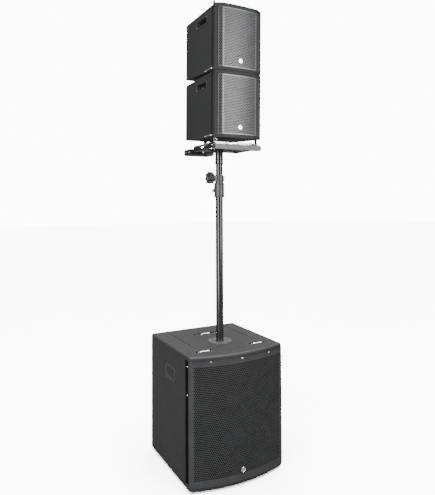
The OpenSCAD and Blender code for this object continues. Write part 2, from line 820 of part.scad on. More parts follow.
module top_handle_cup() {
    wall = 2;
    y0 = top_handle_y - top_handle_w / 2;
    y1 = top_handle_y + top_handle_w / 2;
    z0 = top_handle_z - top_handle_h / 2;
    z1 = top_handle_z + top_handle_h / 2;
    difference() {
        block([top_w / 2 - top_handle_depth - wall, y0 - wall, z0 - wall],
              [top_w / 2 - 0.3, y1 + wall, z1 + wall]);
        block([top_w / 2 - top_handle_depth, y0, z0], [top_w / 2 + 1, y1, z1]);
    }
}

module top_handles() {
    color([0.08, 0.08, 0.08]) both_sides() top_handle_cup();
}

// One side's rigging: a strap down the groove, and at its top an eye that rises into the groove
// of the speaker above.
module side_strap() {
    eye_z = top_pitch + pin_rise;
    difference() {
        union() {
            block([strap_x0, pin_y - 8, 1.5], [strap_x0 + strap_t, pin_y + 8, top_h - 2.5]);
            block([lug_x0, pin_y - 8, top_h - 70], [lug_x0 + lug_t, pin_y + 8, top_h - 2.5]);
            block([lug_x0 + lug_t, pin_y - 8, top_h - 70], [strap_x0, pin_y + 8, top_h - 12]);
            rod_x(lug_x0, lug_x0 + lug_t, pin_y, eye_z, eye_r);
            translate([lug_x0, pin_y, top_h - 3]) rotate([90, 0, 90]) linear_extrude(lug_t)
                polygon([[-8, 0], [8, 0], [eye_r, eye_z - top_h + 3], [-eye_r, eye_z - top_h + 3]]);
        }
        rod_x(lug_x0 - 1, lug_x0 + lug_t + 0.1, pin_y, eye_z, pin_hole_r);
        rod_x(strap_x0 - 1, strap_x0 + strap_t + 1, pin_y, pin_rise, pin_hole_r);
    }
}

// How far back the tongue's slot is at a height: it curves round the front pin.
function slot_y(z) = pin_y + sqrt(pow(tongue_swing_r, 2) - pow(z - pin_rise, 2));

// The curved slot that the rear bolt travels in as the speaker tilts about its front pins.
module tongue_slot(z0, z1, r) {
    intersection() {
        difference() {
            rod_x(-tongue_t, tongue_t, pin_y, pin_rise, tongue_swing_r + r);
            rod_x(-tongue_t - 1, tongue_t + 1, pin_y, pin_rise, tongue_swing_r - r);
        }
        block([-tongue_t, tongue_y0, z0], [tongue_t, tongue_y1, z1]);
    }
    for (z = [z0, z1]) rod_x(-tongue_t, tongue_t, slot_y(z), z, r);
}

// Rear rigging: a slotted tongue that hangs below the back, and a clevis near the top for the
// tongue of the speaker above.
module rear_tongue() {
    slot_z0 = tongue_pin_z - tongue_travel_down;
    difference() {
        union() {
            block([-tongue_t / 2, tongue_y0, slot_z0], [tongue_t / 2, tongue_y1, 90]);
            rod_x(-tongue_t / 2, tongue_t / 2, tongue_pin_y, slot_z0, (tongue_y1 - tongue_y0) / 2);
            block([-tongue_t / 2, top_d + 5, 22], [tongue_t / 2, tongue_y0 + 1, 90]);
            block([-30, top_d, 20], [30, top_d + 6, 92]);
        }
        tongue_slot(slot_z0, tongue_pin_z + tongue_travel_up, pin_r + 0.5);
    }
}

module rear_clevis() {
    pin_z = top_pitch + tongue_pin_z;
    difference() {
        union() {
            block([-30, top_d, pin_z - 28], [30, top_d + 6, pin_z + 20]);
            both_sides() block([clevis_x0, top_d + 5, pin_z - 18],
                               [clevis_x0 + clevis_t, tongue_y1 + 2, pin_z + 18]);
        }
        rod_x(-20, 20, tongue_pin_y, pin_z, pin_hole_r);
        // room for the tongue of the speaker above when the pair closes up
        block([-clevis_x0, top_d + 1, pin_z - 29], [clevis_x0, top_d + 12, pin_z + 21]);
    }
}

module top_rigging() {
    color([0.20, 0.20, 0.21]) {
        both_sides() side_strap();
        rear_tongue();
        rear_clevis();
        // the cross bolt of the rear clevis
        rod_x(-clevis_x0 - clevis_t - 4, clevis_x0 + clevis_t + 4, tongue_pin_y,
              top_pitch + tongue_pin_z, pin_r);
    }
}

module top_woofer_frame() {
    color([0.16, 0.16, 0.17]) {
        turned_y(0, top_baffle_y, top_woofer_z)
            polygon([[top_cut_r - 8, 5], [top_woofer_r, 5], [top_woofer_r, 0.1], [top_cut_r - 1, 0.1],
                     [top_cut_r - 1, -18], [52, -62], [52, -96], [0, -96], [0, -84], [26, -84],
                     [26, -66], [42, -60], [top_cut_r - 8, -16]]);
    }
}

module top_woofer_cone() {
    edge_r = top_cut_r - 9;
    color([0.09, 0.09, 0.09]) turned_y(0, top_baffle_y, top_woofer_z)
        polygon([[0, -22], [22, -30], [edge_r - 10, 0], [edge_r - 6, 4], [edge_r - 2, 0],
                 [edge_r, -1], [edge_r, -4], [edge_r - 6, -4], [22, -35], [20, -35], [20, -74],
                 [18, -74], [18, -32], [0, -25]]);
}

// A flared horn: a rectangular mouth that narrows to a round throat with its driver behind.
module top_horn() {
    flare = 70;
    mouth_y = top_baffle_y - 3;
    throat_w = 40;
    color([0.12, 0.12, 0.13]) difference() {
        union() {
            block([-horn_w / 2 - 6, mouth_y, horn_z - horn_h / 2 - 4],
                  [horn_w / 2 + 6, top_baffle_y - 0.2, horn_z + horn_h / 2]);
            translate([0, mouth_y, horn_z]) rotate([90, 0, 0]) mirror([0, 0, 1])
                linear_extrude(flare) square([horn_w - 1, horn_h - 1], center = true);
            rod_y(0, mouth_y + flare, mouth_y + flare + 52, horn_z, 38);
        }
        // the flare is cut as two crossing wedges
        intersection() {
            translate([0, 0, horn_z - horn_h / 2 + 3]) linear_extrude(horn_h - 6)
                polygon([[-horn_w / 2 + 3, mouth_y - 1], [horn_w / 2 - 3, mouth_y - 1],
                         [throat_w / 2, mouth_y + flare], [-throat_w / 2, mouth_y + flare]]);
            translate([-horn_w / 2, 0, 0]) rotate([90, 0, 90]) linear_extrude(horn_w)
                polygon([[mouth_y - 1, horn_z - horn_h / 2 + 3], [mouth_y - 1, horn_z + horn_h / 2 - 3],
                         [mouth_y + flare, horn_z + 13], [mouth_y + flare, horn_z - 13]]);
        }
        // the outside tapers too
        both_sides() translate([0, 0, horn_z - horn_h]) linear_extrude(2 * horn_h)
            polygon([[horn_w / 2 + 1, top_baffle_y + top_board], [horn_w / 2 + 1, mouth_y + flare + 1],
                     [throat_w / 2 + 8, mouth_y + flare + 1]]);
    }
}

// The plate with the two speaker sockets, sunk in the back: each is a round cup behind it.
module top_sockets() {
    face = top_d - 6;
    cup_depth = 26;
    color([0.14, 0.14, 0.15]) difference() {
        union() {
            block([-44.5, face - 6, 115.5], [44.5, face, 204.5]);
            for (x = [-20, 20]) rod_y(x, face - cup_depth, face, 160, 15);
        }
        for (x = [-20, 20]) rod_y(x, face - cup_depth + 2, top_d, 160, 13);
    }
}

module lower_cabinet() { at_lower() top_cabinet(); }
module lower_baffle() { at_lower() top_baffle(); }
module lower_grille() { at_lower() top_grille(); }
module lower_badge() { at_lower() top_badge(); }
module lower_handles() { at_lower() top_handles(); }
module lower_rigging() { at_lower() top_rigging(); }
module lower_woofer_frame() { at_lower() top_woofer_frame(); }
module lower_woofer_cone() { at_lower() top_woofer_cone(); }
module lower_horn() { at_lower() top_horn(); }
module lower_sockets() { at_lower() top_sockets(); }

module upper_cabinet() { at_upper() top_cabinet(); }
module upper_baffle() { at_upper() top_baffle(); }
module upper_grille() { at_upper() top_grille(); }
module upper_badge() { at_upper() top_badge(); }
module upper_handles() { at_upper() top_handles(); }
module upper_rigging() { at_upper() top_rigging(); }
module upper_woofer_frame() { at_upper() top_woofer_frame(); }
module upper_woofer_cone() { at_upper() top_woofer_cone(); }
module upper_horn() { at_upper() top_horn(); }
module upper_sockets() { at_upper() top_sockets(); }

sub_left_side();
sub_right_side();
sub_top();
sub_bottom();
sub_back();
sub_baffle();
sub_port_shelf();
sub_front_posts();
sub_grille();
sub_grille_screws();
sub_badge();
sub_side_handles();
sub_feet();
sub_stacking_links();
sub_stacking_pins();
sub_woofer_frame();
sub_woofer_magnet();
sub_woofer_cone();
amp_plate();
amp_electronics();
amp_sockets();
level_knob();
crossover_knob();
power_switch();
pole_plate();
pole_outer_tube();
pole_clamp_collar();
pole_inner_tube();
pole_clamp_knob();
pole_safety_catch();
array_sleeve();
array_front_bar();
array_side_arms();
array_spine();
array_tilt_bolt();
array_stowed_pins();
left_tilt_pin();
right_tilt_pin();
left_splay_pin();
right_splay_pin();
lower_cabinet();
lower_baffle();
lower_grille();
lower_badge();
lower_handles();
lower_rigging();
lower_woofer_frame();
lower_woofer_cone();
lower_horn();
lower_sockets();
upper_cabinet();
upper_baffle();
upper_grille();
upper_badge();
upper_handles();
upper_rigging();
upper_woofer_frame();
upper_woofer_cone();
upper_horn();
upper_sockets();
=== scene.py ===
"""The looks of a powered speaker column: subwoofer, telescopic pole, carrier and two top speakers.

Every length is in metres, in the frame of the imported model: +X right, the front faces -Y, +Z up.
"""
from math import asin, cos, pi, radians, sin, sqrt

import bmesh
import bpy
from mathutils import Matrix, Vector
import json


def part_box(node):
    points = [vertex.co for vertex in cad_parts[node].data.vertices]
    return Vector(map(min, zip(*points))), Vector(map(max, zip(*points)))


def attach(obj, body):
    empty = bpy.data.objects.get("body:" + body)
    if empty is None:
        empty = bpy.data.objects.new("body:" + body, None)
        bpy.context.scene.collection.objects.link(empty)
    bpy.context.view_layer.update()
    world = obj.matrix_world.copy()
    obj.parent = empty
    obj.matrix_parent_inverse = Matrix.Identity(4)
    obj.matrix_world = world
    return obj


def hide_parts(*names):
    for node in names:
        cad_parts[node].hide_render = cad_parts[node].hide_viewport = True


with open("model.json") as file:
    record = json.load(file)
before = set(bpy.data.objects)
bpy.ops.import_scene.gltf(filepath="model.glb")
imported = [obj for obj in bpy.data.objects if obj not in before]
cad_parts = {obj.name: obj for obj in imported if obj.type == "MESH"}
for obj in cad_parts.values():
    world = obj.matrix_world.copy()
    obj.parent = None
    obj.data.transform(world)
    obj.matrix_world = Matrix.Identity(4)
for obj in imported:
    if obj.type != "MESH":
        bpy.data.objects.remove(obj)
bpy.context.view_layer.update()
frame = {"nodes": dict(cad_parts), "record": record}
NODES = frame["nodes"]
SCENE = bpy.context.scene
MM = 0.001

# ------------------------ camera

IMAGE_H = 495
FOCAL_PX = 488.76
SHIFT_PX = -54.8
CAMERA_AT = Vector((-1.1875, -2.2294, 1.2936))
YAW, PITCH, ROLL = 0.4936, 0.0253, -0.0038


def make_camera():
    """A level camera to the left of the front, at about the height of the pole's middle."""
    forward = Vector((sin(YAW) * cos(PITCH), cos(YAW) * cos(PITCH), sin(PITCH)))
    right = Vector((cos(YAW), -sin(YAW), 0))
    up = right.cross(forward)
    right_rolled = right * cos(ROLL) + up * sin(ROLL)
    up_rolled = up * cos(ROLL) - right * sin(ROLL)
    data = bpy.data.cameras.new("camera")
    camera = bpy.data.objects.new("camera", data)
    SCENE.collection.objects.link(camera)
    turn = Matrix((right_rolled, up_rolled, -forward)).transposed()
    camera.matrix_world = Matrix.Translation(CAMERA_AT) @ turn.to_4x4()
    data.sensor_width = 36
    data.lens = FOCAL_PX / IMAGE_H * data.sensor_width
    data.shift_y = SHIFT_PX / IMAGE_H
    SCENE.camera = camera


make_camera()

# ------------------------ materials


class Shader:
    """A Principled material with helpers for procedural colour, roughness and bump."""

    def __init__(self, name, **constant):
        self.material = bpy.data.materials.new(name)
        self.material.use_nodes = True
        self.nodes = self.material.node_tree.nodes
        self.links = self.material.node_tree.links
        self.bsdf = self.nodes["Principled BSDF"]
        self.position = self.nodes.new("ShaderNodeTexCoord").outputs["Object"]
        for socket, value in constant.items():
            self.bsdf.inputs[socket.replace("_", " ")].default_value = value

    def node(self, kind, **settings):
        made = self.nodes.new("ShaderNode" + kind)
        for key, value in settings.items():
            setattr(made, key, value)
        return made

    def link(self, output, node, socket):
        self.links.new(output, node.inputs[socket])

    def stretched(self, stretch):
        """Object coordinates, scaled along each axis if stretch is given."""
        if stretch is None:
            return self.position
        made = self.node("Mapping")
        made.inputs["Scale"].default_value = stretch
        self.link(self.position, made, "Vector")
        return made.outputs["Vector"]

    def noise(self, scale, detail=3.0, roughness=0.5, stretch=None):
        made = self.node("TexNoise")
        made.inputs["Scale"].default_value = scale
        made.inputs["Detail"].default_value = detail
        made.inputs["Roughness"].default_value = roughness
        self.link(self.stretched(stretch), made, "Vector")
        return made.outputs["Fac"]

    def voronoi(self, scale):
        made = self.node("TexVoronoi")
        made.inputs["Scale"].default_value = scale
        self.link(self.position, made, "Vector")
        return made.outputs["Distance"]

    def tones(self, source, dark, light, tint=0.0, low=0.3, high=0.7):
        """A drift between two greys, as source goes from low to high."""
        made = self.node("ValToRGB")
        stops = ((low, dark), (high, light))
        for element, (place, value) in zip(made.color_ramp.elements, stops):
            element.position = place
            element.color = (*grey(value, tint), 1)
        self.link(source, made, "Fac")
        return made.outputs["Color"]

    def range(self, source, low, high, from_low=0.3, from_high=0.7):
        made = self.node("MapRange")
        made.inputs["From Min"].default_value = from_low
        made.inputs["From Max"].default_value = from_high
        made.inputs["To Min"].default_value = low
        made.inputs["To Max"].default_value = high
        self.link(source, made, "Value")
        return made.outputs["Result"]

    def product(self, one, other):
        made = self.node("Math", operation="MULTIPLY")
        self.link(one, made, 0)
        self.link(other, made, 1)
        return made.outputs[0]

    def edge_wear(self, radius):
        """Near 1 on the shape's sharp edges, broken up by noise, and 0 elsewhere."""
        bevel = self.node("Bevel", samples=4)
        bevel.inputs["Radius"].default_value = radius
        flat = self.node("NewGeometry")
        dot = self.node("VectorMath", operation="DOT_PRODUCT")
        self.link(bevel.outputs["Normal"], dot, 0)
        self.link(flat.outputs["Normal"], dot, 1)
        edge = self.range(dot.outputs["Value"], 1.0, 0.0, 0.80, 0.995)
        return self.product(edge, self.range(self.noise(75.0, 5.0, 0.65), 0.5, 1.0, 0.35, 0.62))

    def mix(self, factor, below, above):
        made = self.node("Mix", data_type="RGBA")
        self.link(factor, made, "Factor")
        self.link(below, made, "A")
        made.inputs["B"].default_value = (*above, 1)
        return made.outputs["Result"]

    def colour(self, output):
        self.link(output, self.bsdf, "Base Color")

    def roughness(self, output):
        self.link(output, self.bsdf, "Roughness")

    def bump(self, height, strength, distance):
        made = self.node("Bump")
        made.inputs["Strength"].default_value = strength
        made.inputs["Distance"].default_value = distance
        self.link(height, made, "Height")
        before = self.bsdf.inputs["Normal"]
        if before.is_linked:
            self.links.new(before.links[0].from_socket, made.inputs["Normal"])
        self.link(made.outputs["Normal"], self.bsdf, "Normal")


def grey(value, tint=0.0):
    """A linear grey, with a little blue when tint is above 0."""
    return (value, value * (1 + 0.2 * tint), value * (1 + tint))


def textured_paint(name, dark, light, worn, shine=0.2):
    """Sprayed textured cabinet paint: fine pebbles, a slow drift in tone and rubbed edges."""
    s = Shader(name, Specular_IOR_Level=shine)
    tone = s.tones(s.noise(70.0, 7.0, 0.75), dark, light, 0.05, 0.32, 0.68)
    s.colour(s.mix(s.edge_wear(2.2 * MM), tone, grey(worn, 0.04)))
    s.roughness(s.range(s.noise(2.5, 4.0), 0.50, 0.66))
    s.bump(s.voronoi(330.0), 0.5, 0.5 * MM)
    s.bump(s.noise(900.0, 2.0, 0.6), 0.3, 0.3 * MM)
    return s.material


def steel_paint(name, low, high, rough, worn, tint=0.06):
    """Powder-coated steel: a slight orange peel, small changes in gloss and rubbed edges."""
    s = Shader(name, Specular_IOR_Level=0.25)
    tone = s.tones(s.noise(38.0, 5.0, 0.6), low, high, tint)
    s.colour(s.mix(s.edge_wear(0.8 * MM), tone, grey(worn, tint)))
    s.roughness(s.range(s.noise(24.0, 4.0), rough - 0.06, rough + 0.06))
    s.bump(s.noise(700.0, 2.0), 0.12, 0.3 * MM)
    return s.material


def grille_steel(name, low, high, rough, tint, shine):
    """Powder coat on perforated sheet: even, with a faint drift and a fine grain."""
    s = Shader(name, Specular_IOR_Level=shine)
    s.colour(s.tones(s.noise(16.0, 5.0, 0.6), low, high, tint))
    s.roughness(s.range(s.noise(60.0, 3.0), rough - 0.05, rough + 0.05))
    s.bump(s.noise(1100.0, 2.0), 0.1, 0.2 * MM)
    return s.material


def metal(name, value, rough, tint=0.02, brushed=None):
    """Bare or plated metal, with fine scratches along one direction if brushed."""
    s = Shader(name, Metallic=1.0)
    s.colour(s.tones(s.noise(60.0, 4.0), value * 0.85, value, tint))
    grain = s.noise(500.0, 3.0, 0.6, brushed) if brushed else s.noise(160.0, 3.0)
    s.roughness(s.range(grain, rough * 0.7, rough * 1.35))
    s.bump(grain, 0.05, 0.2 * MM)
    return s.material


def moulded_plastic(name, low, high, rough, worn=0.05):
    """Moulded plastic with a spark-eroded grain."""
    s = Shader(name, Specular_IOR_Level=0.45)
    tone = s.tones(s.noise(45.0, 4.0), low, high)
    s.colour(s.mix(s.edge_wear(0.6 * MM), tone, grey(worn)))
    s.roughness(s.range(s.noise(30.0, 3.0), rough - 0.07, rough + 0.07))
    s.bump(s.voronoi(900.0), 0.12, 0.3 * MM)
    return s.material


def foam_and_shade_sheet(name, low, high):
    """Open-cell acoustic foam: matt, with small dark pores; near-black, darker than real foam, so it also
    paints the shade behind the grille holes.
    """
    s = Shader(name, Specular_IOR_Level=0.1)
    s.colour(s.tones(s.voronoi(420.0), low, high, 0.0, 0.15, 0.6))
    s.roughness(s.range(s.noise(40.0), 0.88, 0.98))
    s.bump(s.voronoi(420.0), 0.6, 0.8 * MM)
    return s.material


def gloss_paint(name, value):
    """Gloss black lacquer on the pole, with a clear coat and faint sliding marks."""
    s = Shader(name, Specular_IOR_Level=0.4, Coat_Weight=0.3, Coat_Roughness=0.08)
    s.colour(s.tones(s.noise(20.0, 5.0), value, value * 1.8, 0.0, 0.35, 0.7))
    marks = s.noise(120.0, 4.0, 0.6, (1, 1, 0.04))
    s.roughness(s.range(marks, 0.14, 0.26))
    s.bump(marks, 0.03, 0.2 * MM)
    return s.material


MATERIALS = {
    "cabinet_paint": textured_paint("cabinet_paint", 0.010, 0.015, 0.045),
    # board_black is darker and less glossy than the cabinet paint: black paint with painted shade added, for
    # boards behind the grilles, slots, recesses and the insides of the boxes
    "board_black": textured_paint("board_black", 0.002, 0.004, 0.008, 0.02),
    "sub_grille_steel": grille_steel("sub_grille_steel", 0.019, 0.026, 0.50, 0.06, 0.2),
    "top_grille_steel": grille_steel("top_grille_steel", 0.035, 0.050, 0.35, 0.09, 1.0),
    "bright_steel": metal("bright_steel", 0.86, 0.16),
    "black_plastic": moulded_plastic("black_plastic", 0.009, 0.014, 0.46),
    "foot_rubber": moulded_plastic("foot_rubber", 0.008, 0.012, 0.8, 0.02),
    "black_steel": steel_paint("black_steel", 0.006, 0.010, 0.36, 0.07),
    "cast_frame": steel_paint("cast_frame", 0.014, 0.020, 0.5, 0.06),
    "magnet_iron": steel_paint("magnet_iron", 0.02, 0.035, 0.6, 0.08),
    "cone_paper": moulded_plastic("cone_paper", 0.007, 0.012, 0.75, 0.012),
    "heat_sink": steel_paint("heat_sink", 0.010, 0.015, 0.33, 0.06),
    "plate_steel": metal("plate_steel", 0.17, 0.40, 0.02, (1, 0.06, 1)),
    "pole_gloss": gloss_paint("pole_gloss", 0.004),
    "grey_steel": steel_paint("grey_steel", 0.062, 0.084, 0.34, 0.22, 0.06),
}
FOAM_AND_SHADE = foam_and_shade_sheet("grille_foam_and_shade", 0.001, 0.004)
# Each second slot is the near-black board paint, put on hollows and hidden faces as painted shade
CUP_PLASTIC_AND_SHADE = [MATERIALS["black_plastic"], MATERIALS["board_black"]]
CABINET_PAINT_AND_SHADE = [MATERIALS["cabinet_paint"], MATERIALS["board_black"]]

# ------------------------ mesh helpers


def new_piece(name, bm, body, slot, stands_for=(), materials=None, sharp=35):
    """Turns a bmesh into a piece of the model that rides on a body."""
    bmesh.ops.recalc_face_normals(bm, faces=bm.faces)
    mesh = bpy.data.meshes.new(name)
    bm.to_mesh(mesh)
    bm.free()
    return adopt(name, mesh, body, slot, stands_for, materials, sharp)


def adopt(name, mesh, body, slot, stands_for=(), materials=None, sharp=35):
    """Links a finished mesh as a piece, smooth except across its sharp edges."""
    piece = bpy.data.objects.new(name, mesh)
    SCENE.collection.objects.link(piece)
    mesh.materials.clear()
    for material in materials or [MATERIALS[slot]]:
        mesh.materials.append(material)
    mesh.polygons.foreach_set("use_smooth", [True] * len(mesh.polygons))
    mesh.set_sharp_from_angle(angle=radians(sharp))
    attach(piece, body)
    if stands_for:
        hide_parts(*stands_for)
    return piece


def soften(piece, width, segments=3):
    """Rounds a piece's sharp edges and keeps its flat faces flat in shading."""
    bevel = piece.modifiers.new("edge", "BEVEL")
    bevel.width = width
    bevel.segments = segments
    bevel.limit_method = "ANGLE"
    bevel.angle_limit = radians(40)
    normals = piece.modifiers.new("flat_faces", "WEIGHTED_NORMAL")
    normals.keep_sharp = False
    normals.weight = 80


def mm(*points):
    """Points given in millimetres, as points in metres."""
    return [tuple(c * MM for c in point) for point in points]


def turn_to(axis):
    """A rotation that takes +Z to an axis."""
    return Vector((0, 0, 1)).rotation_difference(Vector(axis)).to_matrix()


def about(at, axis, points):
    """Places points given as (radius, angle, height) about an axis through at."""
    turn = turn_to(axis)
    return [Vector(at) + turn @ Vector((radius * cos(angle), radius * sin(angle), height))
            for radius, angle, height in points]


def lathe(bm, profile, at, axis=(0, 0, 1), segments=32, closed=False, index=0):
    """Turns (radius, height) points about an axis through at; closed joins the last to the first."""
    rings = []
    for radius, height in profile:
        count = segments if radius > 1e-7 else 1
        points = [(radius, 2 * pi * i / segments, height) for i in range(count)]
        rings.append([bm.verts.new(point) for point in about(at, axis, points)])
    bridge(bm, rings, closed, index)


def bridge(bm, rings, closed, index):
    """Faces between neighbouring rings of vertices, where a ring of one vertex is a point."""
    for one, other in zip(rings, rings[1:] + (rings[:1] if closed else [])):
        count = max(len(one), len(other))
        for i in range(count):
            j = (i + 1) % count
            corners = [one[i % len(one)], one[j % len(one)], other[j % len(other)], other[i % len(other)]]
            corners = list(dict.fromkeys(corners))
            if len(corners) > 2:
                bm.faces.new(corners).material_index = index


def loft(bm, loops, closed=False, index=0):
    """Skins between loops of the same number of points; the ends are capped unless closed."""
    rings = [[bm.verts.new(point) for point in loop] for loop in loops]
    if not closed:
        for ring in (rings[0], rings[-1]):
            bm.faces.new(ring).material_index = index
    bridge(bm, rings, closed, index)


def slab(bm, low, high, edge=0.0, index=0):
    """A block between two corners, with its edges rounded."""
    made = bmesh.ops.create_cube(bm, size=1)["verts"]
    low, high = Vector(low), Vector(high)
    for vert in made:
        vert.co = (low + high) / 2 + Vector(c * d for c, d in zip(vert.co, high - low))
    faces = {face for vert in made for face in vert.link_faces}
    for face in faces:
        face.material_index = index
    if edge:
        edges = list({e for vert in made for e in vert.link_edges})
        bmesh.ops.bevel(bm, geom=edges, offset=edge, segments=2, profile=0.5, affect="EDGES",
                        clamp_overlap=True, material=index)


def sweep(bm, points, radius, sides=8, closed=False):
    """A round bar of one radius along points."""
    points = [Vector(p) for p in points]
    count = len(points)
    across = None
    loops = []
    for i, point in enumerate(points):
        before = points[i - 1] if i or closed else point
        after = points[(i + 1) % count] if i + 1 < count or closed else point
        along = (after - before).normalized()
        if across is None:
            across = along.orthogonal().normalized()
        across = (across - along * across.dot(along)).normalized()
        other = along.cross(across)
        turns = [2 * pi * k / sides for k in range(sides)]
        loops.append([point + radius * (across * cos(a) + other * sin(a)) for a in turns])
    loft(bm, loops, closed)


def ring_points(centre, normal, radius, count=28):
    return about(centre, normal, [(radius, 2 * pi * i / count, 0) for i in range(count)])


def coil_points(start, axis, radius, length, turns, per_turn=12):
    """A helix that begins at start and runs along axis."""
    steps = turns * per_turn
    return about(start, axis, [(radius, 2 * pi * i / per_turn, length * i / steps)
                               for i in range(steps + 1)])


def rounded_rectangle(width, height, corner, steps=5):
    """(a, b) points of a rectangle with round corners, in order."""
    points = []
    for quarter, (sa, sb) in enumerate([(1, 1), (-1, 1), (-1, -1), (1, -1)]):
        for i in range(steps + 1):
            turn = pi / 2 * (quarter + i / steps)
            points.append((sa * (width / 2 - corner) + corner * cos(turn),
                           sb * (height / 2 - corner) + corner * sin(turn)))
    return points


def screw_head(bm, at, axis, radius, height):
    """A low domed head with a socket in it; radius and height are in millimetres."""
    radius, height = radius * MM, height * MM
    socket = radius * 0.42
    lathe(bm, [(0, 0), (radius, 0), (radius, height * 0.35), (radius * 0.86, height * 0.8),
               (radius * 0.6, height), (socket, height), (socket * 0.9, height * 0.3),
               (0, height * 0.3)], at, axis, 24)


def hex_bolt(bm, at, axis, across, height):
    """A chamfered hexagon head on a round washer; across and height are in millimetres."""
    radius, height = across * MM / sqrt(3), height * MM
    lathe(bm, [(0, 0), (radius * 1.3, 0), (radius * 1.3, height * 0.16), (0, height * 0.16)], at, axis, 28)
    lathe(bm, [(0, height * 0.16), (radius, height * 0.16), (radius, height * 0.86),
               (radius * 0.86, height), (0, height)], at, axis, 6)


def carve(solid, cutters, name):
    """The first bmesh less the second, as a mesh; both are used up."""
    holders = []
    for bm in (solid, cutters):
        bmesh.ops.recalc_face_normals(bm, faces=bm.faces)
        mesh = bpy.data.meshes.new(name + "_part")
        bm.to_mesh(mesh)
        bm.free()
        for material in CABINET_PAINT_AND_SHADE:
            mesh.materials.append(material)
        holder = bpy.data.objects.new(name + "_part", mesh)
        SCENE.collection.objects.link(holder)
        holders.append(holder)
    boolean = holders[0].modifiers.new("carve", "BOOLEAN")
    boolean.operation = "DIFFERENCE"
    boolean.solver = "EXACT"
    boolean.object = holders[1]
    bpy.context.view_layer.update()
    graph = bpy.context.evaluated_depsgraph_get()
    result = bpy.data.meshes.new_from_object(holders[0].evaluated_get(graph))
    for holder in holders:
        bpy.data.objects.remove(holder)
    result.name = name
    return result


# ------------------------ perforated sheets


class Sheet:
    """A steel sheet that stands upright and follows a plan curve, with staggered round holes.

    along(s) gives the plan point at a distance s along the curve. The sheet is laid out flat in
    (s, z) first, then each point gets a front and a back one, and every free edge gets a wall.
    """

    HOLE_SIDES = 12

    def __init__(self, along, thickness):
        self.along = along
        self.thickness = thickness
        self.flat = []
        self.shared = {}
        self.faces = []

    def point(self, s, z):
        key = (round(s, 6), round(z, 6))
        if key not in self.shared:
            self.shared[key] = len(self.flat)
            self.flat.append((s, z))
        return self.shared[key]

    def plain(self, s0, s1, levels):
        for z0, z1 in zip(levels, levels[1:]):
            corners = ((s0, z0), (s1, z0), (s1, z1), (s0, z1))
            self.faces.append([self.point(*corner) for corner in corners])

    def cell(self, s, half, z0, z1, hole_r):
        """A brick of sheet two half-pitches wide with a hole in its middle."""
        rim = [self.point(s, z0), self.point(s + half, z0), self.point(s + 2 * half, z0),
               self.point(s + 2 * half, z1), self.point(s + half, z1), self.point(s, z1)]
        first = len(self.flat)
        sides = self.HOLE_SIDES
        for i in range(sides):
            turn = radians(210) + 2 * pi * i / sides
            self.flat.append((s + half + hole_r * cos(turn), (z0 + z1) / 2 + hole_r * sin(turn)))
        for i in range(6):
            hole = [first + (2 * i + k) % sides for k in (2, 1, 0)]
            self.faces.append([rim[i], rim[(i + 1) % 6], *hole])

    def holes(self, s0, count, pitch, levels, hole_r):
        """count holes across, in every row but the margins at the bottom and the top."""
        half = pitch / 2
        for z0, z1 in (levels[:2], levels[-2:]):
            for k in range(2 * count):
                self.plain(s0 + k * half, s0 + (k + 1) * half, (z0, z1))
        for row, (z0, z1) in enumerate(zip(levels[1:-2], levels[2:-1])):
            k = row % 2
            if k:
                self.plain(s0, s0 + half, (z0, z1))
            while k + 2 <= 2 * count:
                self.cell(s0 + k * half, half, z0, z1, hole_r)
                k += 2
            if k < 2 * count:
                self.plain(s0 + k * half, s0 + 2 * count * half, (z0, z1))

    def place(self, s):
        """The plan point at s, and the step from the front skin to the back one."""
        step = 1e-5
        here = Vector(self.along(s))
        sides = []
        for reach in (-step, step):
            run = (Vector(self.along(s + reach)) - here) * (1 if reach > 0 else -1)
            sides.append(Vector((run.y, -run.x)).normalized())
        middle = (sides[0] + sides[1]).normalized()
        return here, middle / max(middle.dot(sides[0]), 0.5)

    def mesh(self, name, matrix):
        known = {}
        front, back = [], []
        for s, z in self.flat:
            key = round(s, 7)
            if key not in known:
                known[key] = self.place(s)
            here, out = known[key]
            inner = here - out * self.thickness
            front.append(matrix @ Vector((here.x, here.y, z)))
            back.append(matrix @ Vector((inner.x, inner.y, z)))
        count = len(front)
        faces = [list(face) for face in self.faces]
        faces += [[i + count for i in reversed(face)] for face in self.faces]
        edges = {(a, b) for face in self.faces for a, b in zip(face, face[1:] + face[:1])}
        faces += [[b, a, a + count, b + count] for a, b in sorted(edges) if (b, a) not in edges]
        made = bpy.data.meshes.new(name)
        made.from_pydata([tuple(v) for v in front + back], [], faces)
        return made


def row_levels(low, high, margin, pitch):
    """Level lines: the two edges, and hole rows that fill the space between the margins."""
    rise = pitch * sqrt(3) / 2
    rows = int((high - low - 2 * margin) / rise)
    first = (low + high - rows * rise) / 2
    return [low] + [first + i * rise for i in range(rows + 1)] + [high]


def make_foam_and_shade(name, along, thickness, reach, steps, levels, body, matrix):
    """A plain foam sheet that follows a grille on its inside; its near-black also stands for painted shade
    behind the holes.
    """
    foam = Sheet(along, thickness)
    for i in range(steps):
        foam.plain(reach * (2 * i / steps - 1), reach * (2 * (i + 1) / steps - 1), levels)
    adopt(name, foam.mesh(name, matrix), body, "board_black", (), [FOAM_AND_SHADE])


# ------------------------ places taken from the frame


def middle(node):
    low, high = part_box(node)
    return (low + high) / 2


def moved(bm, matrix):
    bmesh.ops.transform(bm, matrix=matrix, verts=bm.verts)
    return bm


deck_low, deck_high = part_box("sub_top")
HALF_W = deck_high.x
BOW = 45 * MM
SUB_FRONT = deck_low.y + BOW
SUB_REAR = deck_high.y
SUB_Z0, SUB_Z1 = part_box("sub_bottom")[0].z, deck_high.z
DECK_Z0, DECK_Z1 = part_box("sub_bottom")[1].z, deck_low.z
BOW_R = (HALF_W ** 2 + BOW ** 2) / (2 * BOW)
BOW_Y = deck_low.y + BOW_R
BOARD = 18 * MM
SIDE_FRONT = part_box("sub_left_side")[0].y
POLE_Y = middle("pole_plate").y
GRILLE_INSET = 2 * MM
SHEET_T = 1.5 * MM

